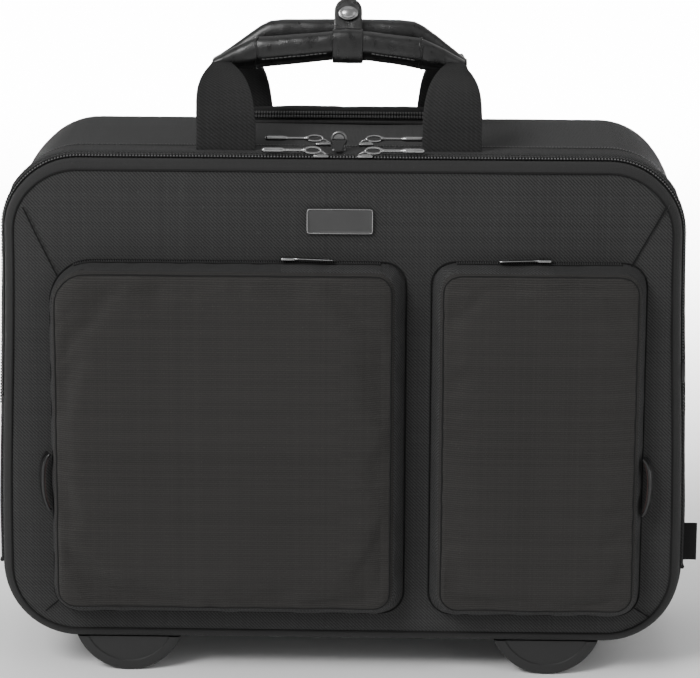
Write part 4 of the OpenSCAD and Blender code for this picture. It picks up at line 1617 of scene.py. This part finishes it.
def handle_cover():
    """The soft cover over the trolley handle, its two-row zip and the fold in front of it."""
    low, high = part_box("handle_cover")
    piece = block("Handle_cover", (low.x - 6 * MM, COVER_FRONT, TOP_Z + 0.4 * MM),
                  (high.x + 6 * MM, COVER_FRONT + COVER_DEEP, high.z + 0.2 * MM))
    cut_up(piece, 24)

    def mould(p):
        t = (p.y - COVER_FRONT) / COVER_DEEP
        u = abs(p.x) / (86 * MM)
        arch = math.sin(math.pi * min(max(0.08 + 0.86 * t, 0), 1)) ** 0.55
        arch *= 1 - ease((u - 0.78) / 0.22) * 0.85
        up = (p.z - TOP_Z) / (high.z - TOP_Z)
        return Vector((p.x, p.y, TOP_Z + 0.4 * MM + up * arch * (high.z - TOP_Z)))

    move_points(piece, mould)
    outward(piece)
    puff(piece, lambda p: p.z < TOP_Z + 3 * MM, 3.2 * MM, 4.0, 2.0 * MM, 12, 0.01)
    give(lay_cloth(piece), COVER_CLOTH, "case")
    rows = []
    for k, (y, z) in enumerate(((70.8, 347.2), (73.0, 349.0))):
        line = [Vector(mm(-80 + i * 4, y, z)) for i in range(41)]
        near, _ = on_surface(piece, line, 0.9 * MM)
        middle = near[8:-8]
        y_mean = sum(p.y for p in middle) / len(middle)
        z_mean = sum(p.z for p in middle) / len(middle)
        line = [Vector((p.x, y_mean, z_mean)) for p in line]
        # Painted highlight: the cover zip gets a lighter copy of the coil.
        rows.append(zip_row("Cover_zip_%d" % k, line, [Vector((0, -0.66, 0.75))] * 41,
                            [Vector((0, 0.75, 0.66))] * 41, 1.2 * MM, 1.9 * MM, 0.7 * MM, HIGHLIT_COVER_COIL))
    coil = joined("Cover_zip", rows)
    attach(coil, "case")
    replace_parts(coil, "cover_zip")
    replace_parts(piece, "handle_cover")
    for part in (piece, coil):
        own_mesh(part)
    fold = [Vector((x * MM, 66.5 * MM, TOP_Z + 4.2 * MM - abs(x) * 0.004 * MM)) for x in range(-84, 85, 4)]
    seam = cord_tube("Cover_fold", fold, 1.3 * MM, 8)
    give(lay_cloth(seam), TOP_CLOTH, "case")


# ---- inside ----

def sleeve():
    """A quilted pad, two sides, a foot and the strap that holds the laptop in."""
    low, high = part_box("laptop_sleeve")
    wall = 8 * MM
    pad = block("Laptop_sleeve", (low.x, low.y, low.z), (high.x, low.y + wall, high.z))
    cut_up(pad, 40)

    def quilt(p):
        u = (p.x - low.x) / (high.x - low.x)
        v = (p.z - low.z) / (high.z - low.z)
        edge = min(u, 1 - u, v, 1 - v)
        soft = 0.35 + 0.65 * ease(edge / 0.08)
        seams = min(abs(u - k / 4) for k in range(5))
        soft *= 0.55 + 0.45 * ease(seams / 0.03)
        middle = low.y + wall / 2
        return Vector((p.x, middle + (p.y - middle) * soft, p.z))

    move_points(pad, quilt)
    smooth(lay_cloth(pad), 60)
    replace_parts(give(pad, LINING, "case"), "laptop_sleeve")
    for name, a, b in (("left", low.x, low.x + 4 * MM), ("right", high.x - 4 * MM, high.x)):
        side = block("Sleeve_side_" + name, (a, low.y + wall, low.z), (b, high.y, high.z), 1 * MM)
        give(lay_cloth(smooth(side)), LINING, "case")
    foot = block("Sleeve_foot", (low.x, low.y + wall, low.z), (high.x, high.y, low.z + 4 * MM), 1 * MM)
    give(lay_cloth(smooth(foot)), LINING, "case")
    path = smooth_path([mm(0, 74, 262), mm(0, 71, 283), mm(0, 55, 289), mm(0, 42, 282), mm(0, 39.4, 262)], 30)
    flap = strap("Sleeve_strap", path, [Vector((1, 0, 0))] * 30, [19 * MM] * 30, 2 * MM, 6)
    give(flap, WEB, "case")


def divider():
    """The board behind the front compartment, with three pockets and three pen loops."""
    board_y = SPLIT_Y - 6 * MM
    w, h = BODY_W - 16 * MM, TOP_Z - 86 * MM
    centre = (0.0, 80 * MM + h / 2)
    panel = grid_panel("Organiser_panel", w, h, 40 * MM, centre, 40, lambda t: (t, 0.0, board_y))
    outward(panel)
    finish_with(panel, "SOLIDIFY", thickness=2.4 * MM, offset=0.0)
    give(lay_cloth(smooth(panel, 50)), LINING, "front_section")
    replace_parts(panel, "front_divider")
    rear = board_y - 1.3 * MM
    half = 44 * MM
    for i, cx in enumerate(mm(-95, 0, 95)):
        front = block("Organiser_pocket_%d" % i, (cx - half, rear - 4.2 * MM, ORGANISER_FOOT),
                      (cx + half, rear, ORGANISER_TOP))
        cut_up(front, 18)

        def belly(p, cx=cx):
            u = (p.x - cx) / half
            v = (p.z - ORGANISER_FOOT) / (ORGANISER_TOP - ORGANISER_FOOT)
            full = (1 - u * u) ** 0.5 if abs(u) < 1 else 0.0
            return Vector((p.x, rear + (p.y - rear) * (0.3 + 0.7 * full * (0.55 + 0.45 * v)), p.z))

        move_points(front, belly)
        give(lay_cloth(smooth(front, 60)), MESH if i == 1 else LINING, "front_section")
        hem_line = []
        for k in range(-10, 11):
            bulge = 4.2 * MM * math.sqrt(1 - (k / 10) ** 2) * 0.95
            hem_line.append(Vector((cx + k * 4.4 * MM, board_y - 1.6 * MM - bulge, ORGANISER_TOP)))
        hem = strap("Organiser_hem_%d" % i, hem_line, [Vector((0, 0, 1))] * 21, [4 * MM] * 21, 1.2 * MM, 3)
        give(hem, SMOOTH, "front_section")
    for k in range(3):
        x = (-40 + 26 * k) * MM
        path = [Vector((x + 8 * MM * math.cos(math.pi * i / 14),
                        board_y - 1.2 * MM - 7 * MM * math.sin(math.pi * i / 14), 214 * MM))
                for i in range(15)]
        ring = strap("Pen_loop_%d" % k, path, [Vector((0, 0, 1))] * 15, [13 * MM] * 15, 1.1 * MM, 3)
        give(ring, WEB, "front_section")


def bellows():
    """Folding cloth at both sides of each opening."""
    for name, bodies, y0, y1, top, inset in (
            ("Lid_bellows", ("front_lid", "front_section"), LID_Y - 4.5 * MM, LID_Y + 4.5 * MM,
             LID_ZIP_END, 4.2 * MM),
            ("Main_bellows", ("front_section", "case"), SPLIT_Y - 5 * MM, SPLIT_Y + 5 * MM,
             236 * MM, 5.2 * MM)):
        for s, side_name in ((-1, "left"), (1, "right")):
            count = 40
            path, halves = [], []
            for i in range(count):
                z = 46 * MM + (top - 46 * MM) * i / (count - 1)
                n = outline_inset_x(z, inset)
                path.append(Vector((s * n, (y0 + y1) / 2, z)))
                halves.append((y1 - y0) / 2)
            folds = strap("%s_%s" % (name, side_name), path, [Vector((0, 1, 0))] * count, halves,
                          0.8 * MM, 16)
            give(folds, LINING)
            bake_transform(folds)


def outline_inset_x(z, inset):
    """Half width of the body's inside at a height, inset from its outline."""
    r = CORNER_R
    low_centre = BASE_Z + r
    high_centre = TOP_Z - r
    if z < low_centre:
        d = low_centre - z
    elif z > high_centre:
        d = z - high_centre
    else:
        return BODY_W / 2 - inset
    return BODY_W / 2 - r + math.sqrt(max((r - inset) ** 2 - d * d, 0.0))


# ---- wheels and trolley: the machined parts, eased and finished ----

def tyres():
    """Rubber rings with a rounded tread and three grooves."""
    for name in ("left", "right"):
        low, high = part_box("tyre_" + name)
        centre = [(a + b) / 2 for a, b in zip(low, high)]
        r = (high.z - low.z) / 2
        hub_low, hub_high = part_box("hub_" + name)
        inner = (hub_high.z - hub_low.z) / 2 - 0.05 * MM
        tyre = disc("Tyre_" + name, centre, r, high.x - low.x, "X", 96)
        pick_faces(tyre, lambda c, n: abs(n.x) > 0.9)
        shape(tyre, (bpy.ops.mesh.inset, {"thickness": r - inner, "depth": 0.0}),
              (bpy.ops.mesh.bridge_edge_loops, {}))
        pick_edges(tyre, lambda a, b: abs(a.x - b.x) > 10 * MM
                   and math.hypot(a.y - centre[1], a.z - centre[2]) > r - 1 * MM)
        shape(tyre, (bpy.ops.mesh.subdivide, {"number_cuts": 12}))

        def tread(p):
            dy, dz = p.y - centre[1], p.z - centre[2]
            d = math.hypot(dy, dz)
            if d < r - 1 * MM:
                return p
            x = (p.x - centre[0]) / ((high.x - low.x) / 2)
            drop = 2.2 * MM * abs(x) ** 4
            for groove in (-0.42, 0.0, 0.42):
                drop += 0.9 * MM * math.exp(-((x - groove) / 0.07) ** 2)
            k = (d - drop) / d
            return Vector((p.x, centre[1] + dy * k, centre[2] + dz * k))

        move_points(tyre, tread)
        outward(tyre)
        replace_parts(give(smooth(tyre, 50), RUBBER, name + "_wheel"), "tyre_" + name)


KEPT = (
    ("back_board", BOARD, 0.5), ("outer_tubes", TUBE_METAL, 0.2), ("mid_tubes", TUBE_METAL, 0.2),
    ("inner_tubes", TUBE_METAL, 0.2), ("trolley_bezel", MOULDED, 0.7), ("trolley_foot", MOULDED, 0.8),
    ("trolley_grip", MOULDED, 2.2), ("trolley_button", MOULDED, 0.7),
    ("wheel_housing_left", MOULDED, 1.2), ("wheel_housing_right", MOULDED, 1.2), ("wheel_axles", STEEL, 0.3),
    ("base_skid", MOULDED, 1.5), ("hub_left", HUB_PLASTIC, 0.6), ("hub_right", HUB_PLASTIC, 0.6),
    ("bearings_left", STEEL, 0.3), ("bearings_right", STEEL, 0.3), ("snap_stud", GUNMETAL, 0.5),
)


def kept_parts():
    """Finish and eased edges for the machined parts that the frame's own shapes show."""
    for node, material, edge in KEPT:
        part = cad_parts[node]
        part.data.materials.clear()
        part.data.materials.append(material)
        if edge:
            bevel = part.modifiers.new("Edge", "BEVEL")
            bevel.width = edge * MM
            bevel.segments = 3
            bevel.limit_method = "ANGLE"
            bevel.angle_limit = math.radians(40)
            bevel.harden_normals = True
        all_smooth(part.data)


def button_spring():
    """A coil under the release button."""
    low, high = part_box("button_spring")
    x, y = (low.x + high.x) / 2, (low.y + high.y) / 2
    turns, steps = 5.5, 110
    radius, wire = 2.5 * MM, 0.45 * MM
    rise = high.z - low.z - 2.2 * wire
    line = []
    for i in range(steps + 1):
        a = math.tau * turns * i / steps
        line.append(Vector((x + radius * math.cos(a), y + radius * math.sin(a),
                            low.z + 1.1 * wire + rise * i / steps)))
    coil = cord_tube("Button_spring", line, wire, 8)
    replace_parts(give(coil, STEEL, "trolley_upper"), "button_spring")
    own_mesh(coil)


# ---- setting ----

def setting():
    """A pale floor, an even surround and four soft lamps."""
    bpy.ops.object.select_all(action="DESELECT")
    bpy.ops.mesh.primitive_plane_add(size=16, location=(0, 2, 0))
    floor = named("Floor")
    pale, _, shader = new_material("Pale floor", 0.7)
    shader.inputs["Base Color"].default_value = (0.97, 0.97, 0.97, 1)
    floor.data.materials.append(pale)
    world = bpy.data.worlds.new("Studio")
    bpy.context.scene.world = world
    world.use_nodes = True
    world.node_tree.nodes["Background"].inputs[0].default_value = (1.0, 1.0, 1.0, 1.0)
    world.node_tree.nodes["Background"].inputs[1].default_value = 0.6
    for name, place, aim, size, power, spread in (
            ("Key", (-1.5, -2.2, 2.2), (0, 0, 0.2), 1.3, 100, 180),
            ("Fill", (1.9, -1.8, 1.3), (0, 0, 0.2), 1.8, 12, 180),
            ("Top", (0, 0.5, 2.6), (0, 0.05, 0.3), 1.6, 5, 180),
            ("Backdrop", (0, 4.2, 3.0), (0, 4.2, 0), 5.4, 1500, 60)):
        light = bpy.data.lights.new(name, "AREA")
        light.size = size
        light.energy = power
        light.spread = math.radians(spread)
        lamp = bpy.data.objects.new(name, light)
        lamp.location = place
        lamp.rotation_euler = (Vector(aim) - Vector(place)).to_track_quat("-Z", "Y").to_euler()
        bpy.context.scene.collection.objects.link(lamp)


def camera():
    """The view: from the front, a little above and turned slightly."""
    aside, down, roll = 0.0208, 0.207, 0.005
    data = bpy.data.cameras.new("Camera")
    data.lens = 142.7
    data.sensor_width = 36
    view = bpy.data.objects.new("Camera", data)
    view.location = mm(41.4, -1820.9, 590.3)
    turn = Matrix.Rotation(aside, 3, "Z") @ Matrix.Rotation(math.pi / 2 - down, 3, "X")
    view.rotation_euler = (turn @ Matrix.Rotation(roll, 3, "Z")).to_euler()
    bpy.context.scene.collection.objects.link(view)
    bpy.context.scene.camera = view


# ---- the whole case ----

rear_shell()
base_tray()
front_gusset()
panel_binding()
front_panel()
back_panel()
# Painted highlight: the lid zip's front row gets a lighter copy of the coil; its rear row keeps the coil's
# own dark tone.
body_zip("Lid_zip_front", "lid_zip_panel", LID_Y - 0.85 * MM, 0.9 * MM, LID_ZIP_END, "front_lid", LIT_COIL)
body_zip("Lid_zip_rear", "lid_zip_case", LID_Y + 0.85 * MM, 0.9 * MM, LID_ZIP_END, "front_section")
body_zip("Main_zip_front", "main_zip_front", SPLIT_Y - 1.2 * MM, 0.4 * MM, TRAY_TOP + 4 * MM, "front_section")
body_zip("Main_zip_rear", "main_zip_case", SPLIT_Y + 1.2 * MM, 0.4 * MM, TRAY_TOP + 4 * MM, "case")
pockets()
nameplate()
side_loops()
side_label()
feet()
webbing()
grips()
snap()
top_hardware()
pocket_sliders()
handle_cover()
sleeve()
divider()
bellows()
tyres()
kept_parts()
button_spring()
setting()
camera()
